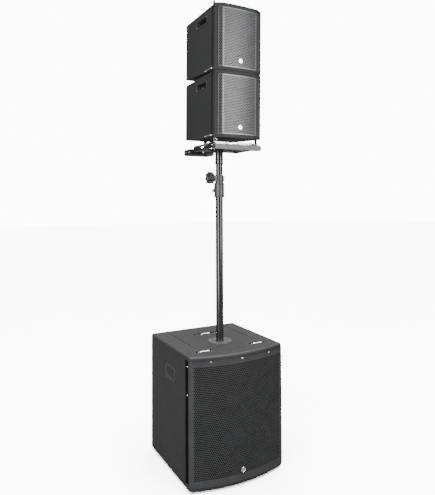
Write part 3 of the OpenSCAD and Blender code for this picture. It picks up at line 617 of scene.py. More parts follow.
TOP_AT = Vector((0, SUB_FRONT - 10 * MM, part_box("array_sleeve")[1].z + 31 * MM))
TOP_TILT = radians(1.2)
TOP_PITCH = 315 * MM
TOP_W, TOP_D, TOP_H = 252 * MM, 323 * MM, 312 * MM
TOP_CHAMFER = (33 * MM, 15 * MM)
TOP_BOW = 5 * MM
RAIL_H = 16 * MM
PIN_Y, PIN_Z = 29 * MM, 10 * MM

LOWER = Matrix.Translation(TOP_AT) @ Matrix.Rotation(TOP_TILT, 4, "X")
UPPER = LOWER @ Matrix.Translation((0, 0, TOP_PITCH))
TOPS = {"lower": LOWER, "upper": UPPER}

# ------------------------ carried-over CAD nodes

RECORD_SLOTS = {part["node"]: part["material_slot"] for part in frame["record"]["subparts"]}
# The round edge of each kind of piece, in millimetres.
EDGE = {"board_black": 1.0, "black_plastic": 1.2, "black_steel": 0.8, "grey_steel": 1.5, "heat_sink": 0.5,
        "cast_frame": 1.0, "magnet_iron": 1.5}


def dress(node, edge):
    """Gives a CAD node its material and rounds its sharp edges."""
    piece = NODES[node]
    piece.data.materials.clear()
    piece.data.materials.append(MATERIALS[RECORD_SLOTS[node]])
    if edge:
        flat = piece.modifiers.new("merge_facets", "DECIMATE")
        flat.decimate_type = "DISSOLVE"
        flat.angle_limit = radians(0.5)
        soften(piece, edge)


for node in NODES:
    dress(node, EDGE.get(RECORD_SLOTS[node], 0) * MM)
NODES["pole_clamp_collar"].data.materials[0] = moulded_plastic("collar_casting", 0.026, 0.036, 0.36)


def blacken_lugs():
    """The arms are grey, and the lugs welded to their fronts are black."""
    arms = NODES["array_side_arms"]
    arms.data.materials.append(MATERIALS["black_steel"])
    weld_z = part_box("array_side_arms")[0].z + 30 * MM
    for face in arms.data.polygons:
        if (arms.matrix_world @ face.center).z > weld_z:
            face.material_index = 1


blacken_lugs()

# ------------------------ subwoofer cabinet

SHELL_ROUND = 11 * MM
TRAY_X, TRAY_FRONT_Y, TRAY_REAR_Y = 147 * MM, SUB_FRONT + 65 * MM, SUB_FRONT + 347 * MM
FRONT_TRAY, REAR_TRAY = 90 * MM, 133 * MM
TRAYS = [(-TRAY_X, TRAY_FRONT_Y, FRONT_TRAY), (TRAY_X, TRAY_FRONT_Y, FRONT_TRAY),
         (0, TRAY_REAR_Y, REAR_TRAY)]
TRAY_DEEP, TRAY_WIDE = 8 * MM, 18 * MM
SKID_X = 168 * MM
HANDLE_W, HANDLE_H, HANDLE_DEEP, HANDLE_FLANGE = 92 * MM, 40 * MM, 56 * MM, 19.5 * MM
handle_mid = middle("sub_side_handles")


def bow_y(x):
    return BOW_Y - sqrt(BOW_R ** 2 - x * x)


def sub_plan():
    """The cabinet from above: the bowed front, then the two rear corners."""
    steps = 40
    across = [HALF_W * (2 * i / steps - 1) for i in range(steps + 1)]
    return [(x, bow_y(x)) for x in across] + [(HALF_W, SUB_REAR), (-HALF_W, SUB_REAR)]


def rounded_pit(bm, x, y, length, width, depth, corner):
    """A cutter for a round-cornered pit in the cabinet's top, whose walls get the near-black second paint as
    painted shade.
    """
    plan = rounded_rectangle(length, width, corner)
    loft(bm, [[(x + a, y + b, z) for a, b in plan] for z in (SUB_Z1 - depth, SUB_Z1 + 5 * MM)], index=1)


def make_sub_shell():
    """The painted box: its boards are filled and sprayed as one, so no joint shows."""
    solid = bmesh.new()
    plan = sub_plan()
    loft(solid, [[(x, y, z) for x, y in plan] for z in (SUB_Z0, SUB_Z1)])
    bmesh.ops.recalc_face_normals(solid, faces=solid.faces)
    corners = [e for e in solid.edges if e.calc_face_angle(0) > radians(40)]
    bmesh.ops.bevel(solid, geom=corners, offset=SHELL_ROUND, segments=7, profile=0.5, affect="EDGES",
                    clamp_overlap=True)
    # Cutter faces with index 1 leave the near-black second paint on the walls they cut: painted shade inside
    # the box and in the amp window, handle holes, pits and pole bore
    cuts = bmesh.new()
    side = HALF_W + 10 * MM
    inner = HALF_W - BOARD
    slab(cuts, (-side, deck_low.y - 10 * MM, DECK_Z0), (side, SIDE_FRONT, DECK_Z1))
    slab(cuts, (-inner, SIDE_FRONT - 5 * MM, DECK_Z0 + 0.2 * MM),
         (inner, SUB_REAR - BOARD, DECK_Z1 - 0.2 * MM), index=1)
    amp_low, amp_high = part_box("amp_plate")
    window = 15 * MM
    slab(cuts, (amp_low.x + window, SUB_REAR - BOARD - 5 * MM, amp_low.z + window),
         (amp_high.x - window, SUB_REAR + 5 * MM, amp_high.z - window), index=1)
    slab(cuts, (amp_low.x, SUB_REAR - 4 * MM, amp_low.z), (amp_high.x, SUB_REAR + 6 * MM, amp_high.z))
    for sign in (-1, 1):
        for grow, x0 in ((3 * MM, inner - 5 * MM), (HANDLE_FLANGE + 0.5 * MM, HALF_W - 3 * MM)):
            plan = rounded_rectangle(HANDLE_W + 2 * grow, HANDLE_H + 2 * grow, 10 * MM)
            loft(cuts, [[(sign * x, handle_mid.y + a, handle_mid.z + b) for a, b in plan]
                        for x in (x0, HALF_W + 5 * MM)], index=1)
    for x, y, length in TRAYS:
        rounded_pit(cuts, x, y, length, TRAY_WIDE, TRAY_DEEP, 5 * MM)
    skid_y0, skid_y1 = SUB_FRONT + 139 * MM, SUB_REAR - 50 * MM
    for x in (-SKID_X, SKID_X):
        rounded_pit(cuts, x, (skid_y0 + skid_y1) / 2, 8 * MM, skid_y1 - skid_y0, 3 * MM, 3.9 * MM)
    rounded_pit(cuts, 0, SUB_FRONT + 35.5 * MM, 136 * MM, 5 * MM, 2.5 * MM, 2.4 * MM)
    recess = 62 * MM
    lathe(cuts, [(0, SUB_Z1 - 1 * MM), (recess, SUB_Z1 - 1 * MM), (recess, SUB_Z1 + 5 * MM),
                 (0, SUB_Z1 + 5 * MM)], (0, POLE_Y, 0), segments=64)
    bore = 22.5 * MM
    lathe(cuts, [(0, DECK_Z1 - 5 * MM), (bore, DECK_Z1 - 5 * MM), (bore, SUB_Z1), (0, SUB_Z1)],
          (0, POLE_Y, 0), segments=48, index=1)
    name = "sub_cabinet_shell"
    shell = adopt(name, carve(solid, cuts, name), "subwoofer", "cabinet_paint",
                  ["sub_left_side", "sub_right_side", "sub_top", "sub_bottom", "sub_back"], CABINET_PAINT_AND_SHADE)
    soften(shell, 0.9 * MM, 2)


make_sub_shell()

# ------------------------ subwoofer grille

SUB_HOLE_PITCH, SUB_HOLE_R = 9.6 * MM, 3.65 * MM
corner_turn = asin((HALF_W - GRILLE_INSET) / (BOW_R - GRILLE_INSET))
SUB_ARC = corner_turn * (BOW_R - GRILLE_INSET)


def sub_grille_plan(s):
    """Along the bow from its middle, then back along the side past each corner."""
    radius = BOW_R - GRILLE_INSET
    inside = max(-SUB_ARC, min(SUB_ARC, s))
    x, y = radius * sin(inside / radius), BOW_Y - radius * cos(inside / radius)
    return x, y + abs(s - inside)


def make_sub_grille():
    flange, edge_strip = 16 * MM, 13 * MM
    levels = row_levels(DECK_Z0 + 0.5 * MM, DECK_Z1 - 0.5 * MM, 22 * MM, SUB_HOLE_PITCH)
    count = int((2 * SUB_ARC - 2 * edge_strip) / SUB_HOLE_PITCH)
    start = -count * SUB_HOLE_PITCH / 2
    sheet = Sheet(sub_grille_plan, SHEET_T)
    stops = [-SUB_ARC - flange, -SUB_ARC, start]
    for s0, s1 in zip(stops, stops[1:]):
        sheet.plain(s0, s1, levels)
        sheet.plain(-s1, -s0, levels)
    sheet.holes(start, count, SUB_HOLE_PITCH, levels, SUB_HOLE_R)
    adopt("sub_grille_perforated", sheet.mesh("sub_grille_perforated", Matrix()), "subwoofer",
          "sub_grille_steel", ["sub_grille"])
    make_foam_and_shade("sub_grille_foam_and_shade", sub_foam_plan, 5 * MM, SUB_ARC - 8 * MM, 24,
              [DECK_Z0 + 3 * MM, DECK_Z1 - 3 * MM], "subwoofer", Matrix())


def sub_foam_plan(s):
    radius = BOW_R - GRILLE_INSET - SHEET_T - 1.5 * MM
    return radius * sin(s / radius), BOW_Y - radius * cos(s / radius)


make_sub_grille()

# ------------------------ subwoofer fittings


def make_badge(name, at, axis, radius, body, node):
    """A plain round badge: a dished rim, a raised ring and a domed middle, with no mark on it."""
    bm = bmesh.new()
    profile = ((0, 0), (0.96, 0), (1, 0.35), (1, 1.2), (0.94, 1.6), (0.84, 1.5), (0.80, 0.9), (0.62, 0.9),
               (0.58, 1.35), (0.3, 1.6), (0, 1.65))
    lathe(bm, [(radius * part, height * MM) for part, height in profile], at, axis, 48)
    new_piece(name, bm, body, "bright_steel", [node])


badge_mid = middle("sub_badge")
make_badge("sub_round_badge", (badge_mid.x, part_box("sub_badge")[1].y, badge_mid.z), (0, -1, 0), 12 * MM,
           "subwoofer", "sub_badge")


def make_grille_screws():
    """Domed socket screws along the grille's top edge and down the two front channels."""
    bm = bmesh.new()
    skin = BOW_R - GRILLE_INSET
    z = SUB_Z0 + 574 * MM
    for x in (-158 * MM, 0, 158 * MM):
        turn = asin(x / skin)
        out = Vector((sin(turn), -cos(turn), 0))
        screw_head(bm, Vector((0, BOW_Y, z)) + out * skin, out, 4.2, 1.8)
    for sign in (-1, 1):
        for rise in (419 * MM, 548 * MM):
            screw_head(bm, (sign * (HALF_W - 6.5 * MM), SUB_FRONT + 38 * MM, SUB_Z0 + rise),
                       (sign, 0, 0), 4.2, 2.2)
    new_piece("sub_front_screws", bm, "subwoofer", "bright_steel", ["sub_grille_screws"])


make_grille_screws()


def cup_loops(width, height, deep, flange, corner, thick):
    """Loops of (a, b, depth) that wrap a flanged pocket: its flange, rolled lip, walls and back."""
    inside = [(flange, 0.8 * MM), (flange - 0.8 * MM, 0), *mm((3.2, 0), (1.2, 0.5), (0.2, 2)),
              (-0.5 * MM, deep - 6 * MM), (-2.5 * MM, deep - 1.5 * MM), (-6 * MM, deep)]
    outside = [(-6 * MM, deep + thick), (-2.5 * MM + thick, deep + thick), (thick, deep - 5 * MM),
               (thick, 2.6 * MM), (flange, 2.6 * MM)]
    loops = []
    for grow, depth in inside + outside:
        plan = rounded_rectangle(width + 2 * grow, height + 2 * grow, max(corner + grow, 3 * MM))
        loops.append([(a, b, depth) for a, b in plan])
    return loops


def cup_skin(bm, loops, place):
    """The pocket's inside and outside skins, each closed by its own floor; its inside gets the near-black
    second paint as painted shade.
    """
    floor, lip = 7, 3
    rings = [[bm.verts.new(place(*point)) for point in loop] for loop in loops]
    for k, ring in enumerate(rings):
        if k != floor:
            bridge(bm, [ring, rings[(k + 1) % len(rings)]], False, 1 if lip < k < floor else 0)
    bm.faces.new(rings[floor]).material_index = 1
    bm.faces.new(rings[floor + 1])


def make_sub_handles():
    bm = bmesh.new()
    loops = cup_loops(HANDLE_W, HANDLE_H, HANDLE_DEEP, HANDLE_FLANGE, 7 * MM, 2.4 * MM)
    for sign in (-1, 1):
        cup_skin(bm, loops, lambda a, b, depth: (sign * (HALF_W - 0.4 * MM - depth),
                                                 handle_mid.y + a, handle_mid.z + b))
    new_piece("sub_handle_cups", bm, "subwoofer", "black_plastic", ["sub_side_handles"], CUP_PLASTIC_AND_SHADE, 50)
    bm = bmesh.new()
    reach_a, reach_b = HANDLE_W / 2 + 11 * MM, HANDLE_H / 2 + 11 * MM
    for sign in (-1, 1):
        for a in (-reach_a, reach_a):
            for b in (-reach_b, reach_b):
                screw_head(bm, (sign * (HALF_W - 1.6 * MM), handle_mid.y + a, handle_mid.z + b),
                           (sign, 0, 0), 3.6, 1.5)
    new_piece("sub_handle_screws", bm, "subwoofer", "black_steel")


make_sub_handles()


def make_stacking_links():
    """Three trays, each with a folded link, a quick-release pin, its ring and its spring."""
    link, pins = bmesh.new(), bmesh.new()
    floor, pin_z = SUB_Z1 - TRAY_DEEP, SUB_Z1 - 3.6 * MM
    hinge_z = SUB_Z1 - 3.4 * MM
    for x, y, length in TRAYS:
        reach = length / 2 - 2 * MM
        slab(link, (x - reach, y - 7.5 * MM, floor), (x + reach, y + 7.5 * MM, floor + 2.5 * MM), 0.6 * MM)
        for sign in (-1, 1):
            end = x + sign * (length / 2 - 13 * MM)
            for wall in (-5.2 * MM, 5.2 * MM):
                slab(link, (end - 8 * MM, y + wall - 1.3 * MM, floor + 2 * MM),
                     (end + 8 * MM, y + wall + 1.3 * MM, SUB_Z1 - 0.6 * MM), 0.5 * MM)
            lathe(pins, mm((0, 0), (2.4, 0), (2.4, 14), (0, 14)), (end, y - 7 * MM, hinge_z), (0, 1, 0), 20)
            screw_head(pins, (end, y - 6.9 * MM, hinge_z), (0, -1, 0), 3.2, 1.4)
        lathe(pins, mm((0, 0), (2, 0), (3, 1.5), (3, 40), (4.4, 40), (4.4, 43), (0, 43)),
              (x - 22 * MM, y, pin_z), (1, 0, 0), 24)
        coil = coil_points((x - 12 * MM, y, pin_z), (1, 0, 0), 3.9 * MM, 22 * MM, 9)
        sweep(pins, coil, 0.6 * MM, 6)
        ring = ring_points((x + 25 * MM, y, SUB_Z1 - 2.2 * MM), (0.25, 0, 1), 5.2 * MM)
        sweep(pins, ring, 0.8 * MM, 8, closed=True)
    # The links get the near-black board paint, darker than their black steel, as painted shade in their
    # trays
    new_piece("sub_folding_links", link, "subwoofer", "black_steel", ["sub_stacking_links"],
              [MATERIALS["board_black"]])
    new_piece("sub_link_pins", pins, "subwoofer", "bright_steel", ["sub_stacking_pins"])


make_stacking_links()


def make_feet():
    """Domed rubber feet, each with a round pocket sunk in its middle."""
    bm = bmesh.new()
    low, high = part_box("sub_feet")
    radius, tall = 20 * MM, high.z - low.z
    for x in (low.x + radius, high.x - radius):
        for y in (low.y + radius, high.y - radius):
            lathe(bm, [(0, tall), (radius, tall), (radius * 0.93, 2 * MM), (radius * 0.86, 0),
                       *mm((9, 0), (7.5, 1.5), (7.5, 4), (0, 4))], (x, y, low.z), segments=40)
    new_piece("sub_rubber_feet", bm, "subwoofer", "foot_rubber", ["sub_feet"])


make_feet()


def make_rear_details():
    """Screws round the amplifier's plate, socket contacts, a fuse cap and two indicator lamps."""
    low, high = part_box("amp_plate")
    screws = bmesh.new()
    inset = 7 * MM
    for x in (low.x + inset, 0, high.x - inset):
        for z in (low.z + inset, (low.z + high.z) / 2, high.z - inset):
            if x or abs(z - (low.z + high.z) / 2) > inset:
                screw_head(screws, (x, SUB_REAR - 1.6 * MM, z), (0, 1, 0), 3.6, 1.5)
    new_piece("amp_plate_screws", screws, "subwoofer", "bright_steel")
    contacts = bmesh.new()
    floor = SUB_REAR - 17 * MM
    line_z = middle("level_knob").z - 110 * MM
    for x in (20 * MM, 60 * MM, 100 * MM):
        lathe(contacts, mm((7.6, 0), (8.8, 0), (8.8, 15.5), (7.6, 15.5)), (x, floor, line_z), (0, 1, 0), 32,
              closed=True)
        for turn in map(radians, (90, 210, 330)):
            pin = (x + 4 * MM * cos(turn), floor, line_z + 4 * MM * sin(turn))
            lathe(contacts, mm((0, 0), (1.2, 0), (1.2, 9), (0, 10)), pin, (0, 1, 0), 12)
    mains_z = middle("power_switch").z
    for dx, dz in mm((-7, -3), (0, 3), (7, -3)):
        x, z = -18 * MM + dx, mains_z + dz
        half = Vector((1 * MM, 0, 2.4 * MM))
        slab(contacts, Vector((x, floor, z)) - half, Vector((x, floor + 11 * MM, z)) + half, 0.4 * MM)
    new_piece("amp_contacts", contacts, "subwoofer", "bright_steel")
    caps = bmesh.new()
    for knob in ("level_knob", "crossover_knob"):
        lathe(caps, mm((0, 0), (3.4, 0), (3.4, 0.8), (2.4, 1), (2, 2), (0, 2.5)),
              (100 * MM, SUB_REAR - 2.6 * MM, middle(knob).z), (0, 1, 0), 24)
    lathe(caps, mm((0, 0), (7, 0), (7, 3), (5.4, 3.4), (5.2, 2.4), (0, 2.4)),
          (60 * MM, SUB_REAR - 3.5 * MM, mains_z), (0, 1, 0), 32)
    new_piece("amp_lamps_and_fuse_cap", caps, "subwoofer", "black_plastic")


make_rear_details()

# ------------------------ pole

collar_low, collar_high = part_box("pole_clamp_collar")
CLAMP_Z = middle("pole_clamp_knob").z


def rib_profile(radius, buried, proud, slope, tall):
    """The profile in metres, from lengths in mm, of a rib round a tube, with sloped sides."""
    inner, outer = radius - buried, radius + proud
    return mm((inner, 0), (outer, slope), (outer, tall - slope), (inner, tall))


def make_pole_details():
    """The base plate's screws, the collar's ribs and bolts, and the knob's metal cap and washer."""
    plate = bmesh.new()
    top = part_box("pole_plate")[1].z
    for i in range(6):
        turn = radians(60 * i + 30)
        screw_head(plate, (48 * MM * cos(turn), POLE_Y + 48 * MM * sin(turn), top),
                   (0, 0, 1), 3.8, 1.3)
    new_piece("pole_plate_screws", plate, "subwoofer", "plate_steel")
    ribs = bmesh.new()
    neck_z = collar_high.z - 41 * MM
    for z in (collar_low.z + 3 * MM, collar_low.z + 9 * MM, neck_z - 9 * MM, neck_z - 3.5 * MM):
        lathe(ribs, rib_profile(25.5, 0.4, 0.9, 0.7, 3), (0, POLE_Y, z), segments=48, closed=True)
    new_piece("collar_ribs", ribs, "subwoofer", "black_plastic")
    bolt = bmesh.new()
    ear_x, ear_y = 25 * MM, 8 * MM
    for z in (collar_high.z - 15 * MM, collar_high.z - 27 * MM):
        for sign in (1, -1):
            hex_bolt(bolt, (ear_x, POLE_Y + sign * ear_y, z), (0, sign, 0), 8, 4.5)
    new_piece("collar_bolts", bolt, "subwoofer", "bright_steel")
    cap = bmesh.new()
    lathe(cap, mm((0, -2.6), (10.5, -2.6), (10.5, -0.6), (8.5, 0.2), (3, 0.6), (0, 0.6)),
          (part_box("pole_clamp_knob")[0].x, POLE_Y, CLAMP_Z), (-1, 0, 0), 32)
    lathe(cap, mm((6.4, 0), (11, 0), (11, 1.6), (6.4, 1.6)), (collar_low.x, POLE_Y, CLAMP_Z), (-1, 0, 0), 32,
          closed=True)
    new_piece("knob_cap_and_washer", cap, "star_knob", "bright_steel")


make_pole_details()


def make_sleeve_lips():
    """The two raised lips round the carrier's sleeve."""
    bm = bmesh.new()
    sleeve_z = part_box("array_sleeve")[0].z
    for z in (sleeve_z, sleeve_z + 22 * MM):
        lathe(bm, rib_profile(20.5, 0.3, 1.4, 0.6, 5), (0, POLE_Y, z), segments=48, closed=True)
    new_piece("sleeve_lips", bm, "carrier", "black_steel")


make_sleeve_lips()

# ------------------------ carrier

bar_low, bar_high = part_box("array_front_bar")
ARM_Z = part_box("array_side_arms")[0].z
spine_low, spine_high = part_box("array_spine")
ARM_X = 120.5 * MM


def make_stowed_pins():
    """Two spare quick-release pins lying in clips on the front bar: one long, one with a spring."""
    bm = bmesh.new()
    y, z = bar_low.y + 8 * MM, bar_high.z + 6 * MM
    shaft = 4 * MM
    for x in (-118 * MM, -66 * MM, 6 * MM, 58 * MM):
        slab(bm, (x - 3 * MM, y - 5 * MM, bar_high.z), (x + 3 * MM, y + 5 * MM, z + 1 * MM), 0.6 * MM)
    for x0, x1 in ((-126 * MM, -52 * MM), (-7 * MM, 66 * MM)):
        length = x1 - x0
        lathe(bm, [(0, 0), (shaft * 0.6, 0), (shaft, 2 * MM), (shaft, length * 0.3),
                   (shaft * 0.8, length * 0.31), (shaft * 0.8, length * 0.34), (shaft, length * 0.35),
                   (shaft, length - 5 * MM), (shaft * 1.5, length - 5 * MM),
                   (shaft * 1.5, length - 1 * MM), (0, length)], (x0, y, z), (1, 0, 0), 24)
    lathe(bm, mm((0, 0), (2.6, 0), (2.6, 46), (0, 46)), (66 * MM, y, z), (1, 0, 0), 16)
    sweep(bm, coil_points((67 * MM, y, z), (1, 0, 0), 4.6 * MM, 42 * MM, 12), 0.9 * MM, 6)
    for x, rise, lean, radius in ((-120 * MM, 9 * MM, 0.15, 7 * MM), (116 * MM, 2.4 * MM, 0.1, 6 * MM)):
        sweep(bm, ring_points((x, y, z + rise), (0, 1, lean), radius), 1.3 * MM, 8, closed=True)
    new_piece("carrier_stowed_pins", bm, "carrier", "bright_steel", ["array_stowed_pins"])


make_stowed_pins()


def make_carrier_bolts():
    """Hexagon bolts at the carrier's joints, and the bolt through the lower speaker's tongue."""
    bm = bmesh.new()
    tongue = LOWER @ Vector((0, TOP_D + 22 * MM, -40 * MM))
    cheek = 10.6 * MM
    shank = 2 * cheek + 2 * MM
    lathe(bm, [(0, 0), (4 * MM, 0), (4 * MM, shank), (0, shank)],
          (-cheek - 1 * MM, tongue.y, tongue.z), (1, 0, 0), 24)
    heads = [(cheek, tongue.y, tongue.z, 12, 6),
             (71 * MM, spine_high.y - 18 * MM, spine_low.z + 16 * MM, 9, 3.6),
             (71 * MM, spine_high.y - 67 * MM, spine_low.z + 16 * MM, 9, 3.6),
             (ARM_X, bar_high.y + 14 * MM, ARM_Z + 14 * MM, 8, 3.4),
             (27 * MM, POLE_Y, spine_low.z + 12 * MM, 9, 4)]
    for sign in (-1, 1):
        for x, y, z, across, height in heads:
            hex_bolt(bm, (sign * x, y, z), (sign, 0, 0), across, height)
    new_piece("carrier_bolts", bm, "carrier", "bright_steel", ["array_tilt_bolt"])
    caps = bmesh.new()
    wall = 3 * MM
    for sign in (-1, 1):
        x0, x1 = sorted((sign * (bar_high.x - 6 * MM), sign * (bar_high.x - 0.3 * MM)))
        slab(caps, (x0, bar_low.y + wall, bar_low.z + wall),
             (x1, bar_high.y - wall, bar_high.z - wall), 0.8 * MM)
    new_piece("carrier_bar_end_plugs", caps, "carrier", "black_plastic")


make_carrier_bolts()


def make_cross_pin(name, matrix, sign, body, node):
    """A quick-release pin: a button-headed shaft, and its handle laid back."""
    bm = bmesh.new()
    inner, length = TOP_W / 2 - 9.3 * MM, 13.3
    lathe(bm, mm((0, 0), (3.4, 0), (4, 0.8), (4, length - 1), (4.6, length - 1), (4.6, length + 2.6),
                 (3.4, length + 3.6), (2.2, length + 3.6), (2, length + 4.6), (0, length + 4.6)),
          (sign * inner, PIN_Y, PIN_Z), (sign, 0, 0), 28)
    x = sign * (inner + length * MM)
    grip = mm((2, 0), (14, 1.4), (30, 1.8), (46, 1), (57, -0.6))
    sweep(bm, [(x, PIN_Y + back, PIN_Z + rise) for back, rise in grip], 2.8 * MM, 12)
    ring = ring_points((x, PIN_Y + 60 * MM, PIN_Z - 0.4 * MM), (1, 0, 0.2), 4.6 * MM, 24)
    sweep(bm, ring, 1.0 * MM, 8, closed=True)
    new_piece(name, moved(bm, matrix), body, "bright_steel", [node])


for side, sign in (("left", -1), ("right", 1)):
    for level, matrix in (("tilt", LOWER), ("splay", UPPER)):
        pin = f"{side}_{level}_pin"
        make_cross_pin(pin + "_with_handle", matrix, sign, pin + "_body", pin)

# ------------------------ top speakers

TOP_HOLE_PITCH, TOP_HOLE_R = 8.4 * MM, 3.4 * MM
TOP_FLAT = TOP_W / 2 - TOP_CHAMFER[0]
TOP_INSET = 2.5 * MM
CHAMFER_GAP = 11 * MM


def top_grille_points():
    """The plan corners of a top grille: return flange, chamfer's start and the bend."""
    bend = Vector((TOP_FLAT, -TOP_CHAMFER[1] + TOP_INSET))
    corner = Vector((TOP_W / 2 - TOP_INSET, 0))
    along = (bend - corner).normalized()
    edge = corner + along * CHAMFER_GAP
    return edge + Vector((-3 * MM, 9 * MM)), edge, bend


def top_grille_plan():
    """The plan curve of a top grille from its middle, and the distances of its bends."""
    flange, edge, bend = top_grille_points()
    radius = (TOP_FLAT ** 2 + TOP_BOW ** 2) / (2 * TOP_BOW)
    centre_y = bend.y - TOP_BOW + radius
    arc = asin(TOP_FLAT / radius) * radius
    stops = [arc, arc + (edge - bend).length, arc + (edge - bend).length + (flange - edge).length]

    def along(s):
        sign = 1 if s >= 0 else -1
        reach = abs(s)
        if reach <= stops[0]:
            x, y = radius * sin(reach / radius), centre_y - radius * cos(reach / radius)
        elif reach <= stops[1]:
            x, y = bend + (edge - bend) * ((reach - stops[0]) / (stops[1] - stops[0]))
        else:
            x, y = edge + (flange - edge) * ((reach - stops[1]) / (stops[2] - stops[1]))
        return sign * x, y
    return along, stops


def make_top_grille(level, matrix):
    along, (arc, chamfer, flange) = top_grille_plan()
    low, high = RAIL_H - 0.1 * MM, TOP_H - RAIL_H + 0.2 * MM
    levels = row_levels(low, high, 5 * MM, TOP_HOLE_PITCH)
    sheet = Sheet(along, SHEET_T)
    count = int((2 * arc - 6 * MM) / TOP_HOLE_PITCH)
    start = -count * TOP_HOLE_PITCH / 2
    on_chamfer = 2
    chamfer_holes = arc + 1.6 * MM
    chamfer_end = chamfer_holes + on_chamfer * TOP_HOLE_PITCH
    for s0, s1 in ((-start, arc), (arc, chamfer_holes), (chamfer_end, chamfer), (chamfer, flange)):
        sheet.plain(s0, s1, levels)
        sheet.plain(-s1, -s0, levels)
    for s0, holes in ((start, count), (chamfer_holes, on_chamfer), (-chamfer_end, on_chamfer)):
        sheet.holes(s0, holes, TOP_HOLE_PITCH, levels, TOP_HOLE_R)
    name = level + "_grille_perforated"
    adopt(name, sheet.mesh(name, matrix), level + "_speaker", "top_grille_steel", [level + "_grille"])
    make_foam_and_shade(level + "_grille_foam_and_shade", lambda s: (s, along(s)[1] + 3.4 * MM), 3 * MM, TOP_FLAT + 12 * MM, 16,
              [low + 3 * MM, high - 3 * MM], level + "_speaker", matrix)


def make_top_cabinet(level, matrix):
    """The painted box of a top speaker, with painted shade in near-black paint inside, on its front posts
    and in its grooves.
    """
    bm = bmesh.new()
    bm.from_mesh(NODES[level + "_cabinet"].data)
    bmesh.ops.remove_doubles(bm, verts=bm.verts, dist=1e-6)
    bmesh.ops.dissolve_limit(bm, angle_limit=radians(0.5), verts=bm.verts, edges=bm.edges)
    back = matrix.inverted()
    turn = back.to_3x3()
    for face in bm.faces:
        at, out = back @ face.calc_center_median(), turn @ face.normal
        sunk = TOP_W / 2 - abs(at.x)
        post = out.y < -0.9 and abs(at.y) < 1 * MM and RAIL_H < at.z < TOP_H - RAIL_H
        groove = 0.5 * MM < sunk < 12 * MM and 17 * MM < at.y < 41 * MM
        inside = sunk > 1 * MM and 1 * MM < at.y < TOP_D - 1 * MM and 14 * MM < at.z < TOP_H - 14 * MM
        # Faces in the grooves, on the posts behind the grille gap and inside the box take the near-black
        # second paint as painted shade
        face.material_index = 1 if post or groove or inside else 0
    piece = new_piece(level + "_cabinet_shell", bm, level + "_speaker", "cabinet_paint",
                      [level + "_cabinet"], CABINET_PAINT_AND_SHADE)
    soften(piece, 1.6 * MM)


def make_top_handles(level, matrix):
    bm = bmesh.new()
    y, z = 145 * MM, 260 * MM
    loops = cup_loops(107 * MM, 28 * MM, 36 * MM, 5 * MM, 8 * MM, 1.8 * MM)
    for sign in (-1, 1):
        cup_skin(bm, loops, lambda a, b, depth: (sign * (TOP_W / 2 + 0.9 * MM - depth), y + a, z + b))
    new_piece(level + "_handle_cups", moved(bm, matrix), level + "_speaker", "black_plastic",
              [level + "_handles"], CUP_PLASTIC_AND_SHADE, 50)


def make_top_rear(level, matrix):
    """Twist-lock speaker sockets, the screws of their plate and the bolts of the rear rigging."""
    sockets, screws = bmesh.new(), bmesh.new()
    face_y = TOP_D - 6 * MM
    mid_z = 160 * MM
    plate_corner = 39 * MM
    for x in (-20 * MM, 20 * MM):
        lathe(sockets, mm((12.6, -23), (12.6, 0), (15.5, 0), (15.5, 2), (13.6, 2.6), (10.4, 2.6), (9.6, 1.4),
                          (9.6, -20), (9.6, -23)), (x, face_y, mid_z), (0, 1, 0), 40, closed=True)
        lathe(sockets, mm((0, -23), (5.4, -23), (5.4, -6), (4.6, -5), (0, -5)), (x, face_y, mid_z),
              (0, 1, 0), 24)
        for turn in map(radians, (45, 225)):
            at = (x + 18 * MM * cos(turn), face_y, mid_z + 18 * MM * sin(turn))
            screw_head(screws, at, (0, 1, 0), 2.4, 1.0)
    for x in (-plate_corner, plate_corner):
        for dz in (-plate_corner, plate_corner):
            screw_head(screws, (x, face_y, mid_z + dz), (0, 1, 0), 2.8, 1.3)
    new_piece(level + "_speaker_sockets", moved(sockets, matrix), level + "_speaker", "black_plastic")
    for x in (-22 * MM, 22 * MM):
        for z in (30 * MM, 82 * MM, TOP_PITCH - 62 * MM, TOP_PITCH - 26 * MM):
            screw_head(screws, (x, TOP_D + 6 * MM, z), (0, 1, 0), 4, 2)
    new_piece(level + "_fixing_screws", moved(screws, matrix), level + "_speaker", "bright_steel")


for level, matrix in TOPS.items():
    make_top_cabinet(level, matrix)
    make_top_grille(level, matrix)
    make_top_handles(level, matrix)
    make_top_rear(level, matrix)
    out = matrix.to_3x3() @ Vector((0, -1, 0))
    badge_at = matrix @ Vector((0, -TOP_CHAMFER[1] - TOP_BOW + TOP_INSET, 50 * MM))
    make_badge(level + "_round_badge", badge_at, out, 11 * MM, level + "_speaker", level + "_badge")

# ------------------------ floor and light

STUDIO_LIGHT, BACKDROP, FLOOR_BOUNCE, FLOOR_SEEN = 0.12, 12.0, 0.08, 2.0
AIM_Z = 1.3


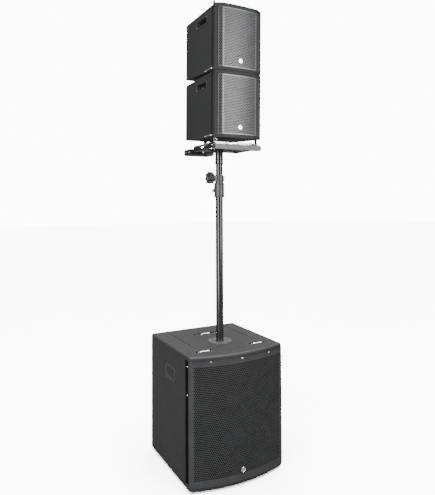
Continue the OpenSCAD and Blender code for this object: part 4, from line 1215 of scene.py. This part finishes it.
def make_stage():
    """A plain pale floor and backdrop, which light the dark paint only a little."""
    floor_mesh = bpy.data.meshes.new("floor")
    size = 30
    floor_mesh.from_pydata([(-size, -size, 0), (size, -size, 0), (size, size, 0), (-size, size, 0)],
                           [], [(0, 1, 2, 3)])
    floor = bpy.data.objects.new("floor", floor_mesh)
    SCENE.collection.objects.link(floor)
    s = Shader("floor", Roughness=0.9, Specular_IOR_Level=0.1)
    pale = s.tones(s.noise(2.0, 2.0), 0.90, 0.92)
    seen = s.node("VectorMath", operation="SCALE")
    s.link(pale, seen, 0)
    seen_directly = s.node("LightPath").outputs["Is Camera Ray"]
    s.link(s.range(seen_directly, FLOOR_BOUNCE, FLOOR_SEEN, 0.0, 1.0), seen, "Scale")
    s.colour(seen.outputs[0])
    floor_mesh.materials.append(s.material)
    world = bpy.data.worlds.new("studio")
    world.use_nodes = True
    nodes, links = world.node_tree.nodes, world.node_tree.links
    nodes["Background"].inputs["Color"].default_value = (1, 1, 1, 1)
    path, strength = nodes.new("ShaderNodeLightPath"), nodes.new("ShaderNodeMapRange")
    strength.inputs["To Min"].default_value = STUDIO_LIGHT
    strength.inputs["To Max"].default_value = BACKDROP
    links.new(path.outputs["Is Camera Ray"], strength.inputs["Value"])
    links.new(strength.outputs["Result"], nodes["Background"].inputs["Strength"])
    SCENE.world = world


def add_lamp(name, kind, power, at):
    """A new lamp at a place, and its light."""
    data = bpy.data.lights.new(name, kind)
    data.energy = power
    lamp = bpy.data.objects.new(name, data)
    SCENE.collection.objects.link(lamp)
    lamp.location = at
    return lamp, data


def softbox(name, azimuth, distance, height, width, tall, power):
    """A soft light seen from the column at an azimuth, where 0 is in front and 90 to the right."""
    turn = radians(azimuth)
    at = Vector((distance * sin(turn), -distance * cos(turn), height))
    lamp, data = add_lamp(name, "AREA", power, at)
    data.shape = "RECTANGLE"
    data.size, data.size_y = width, tall
    lamp.rotation_mode = "QUATERNION"
    lamp.rotation_quaternion = (Vector((0, 0, AIM_Z)) - at).to_track_quat("-Z", "Y")


def sky_light(name, strength, spread):
    """A wide even light from straight above, which the whole floor gets alike."""
    data = add_lamp(name, "SUN", strength, (0, 0, 6))[1]
    data.angle = radians(spread)


make_stage()
softbox("key", 20, 3.6, 2.0, 1.4, 2.8, 175)
softbox("left", -62, 3.6, 1.6, 2.0, 3.0, 250)
sky_light("over", 17.0, 70)
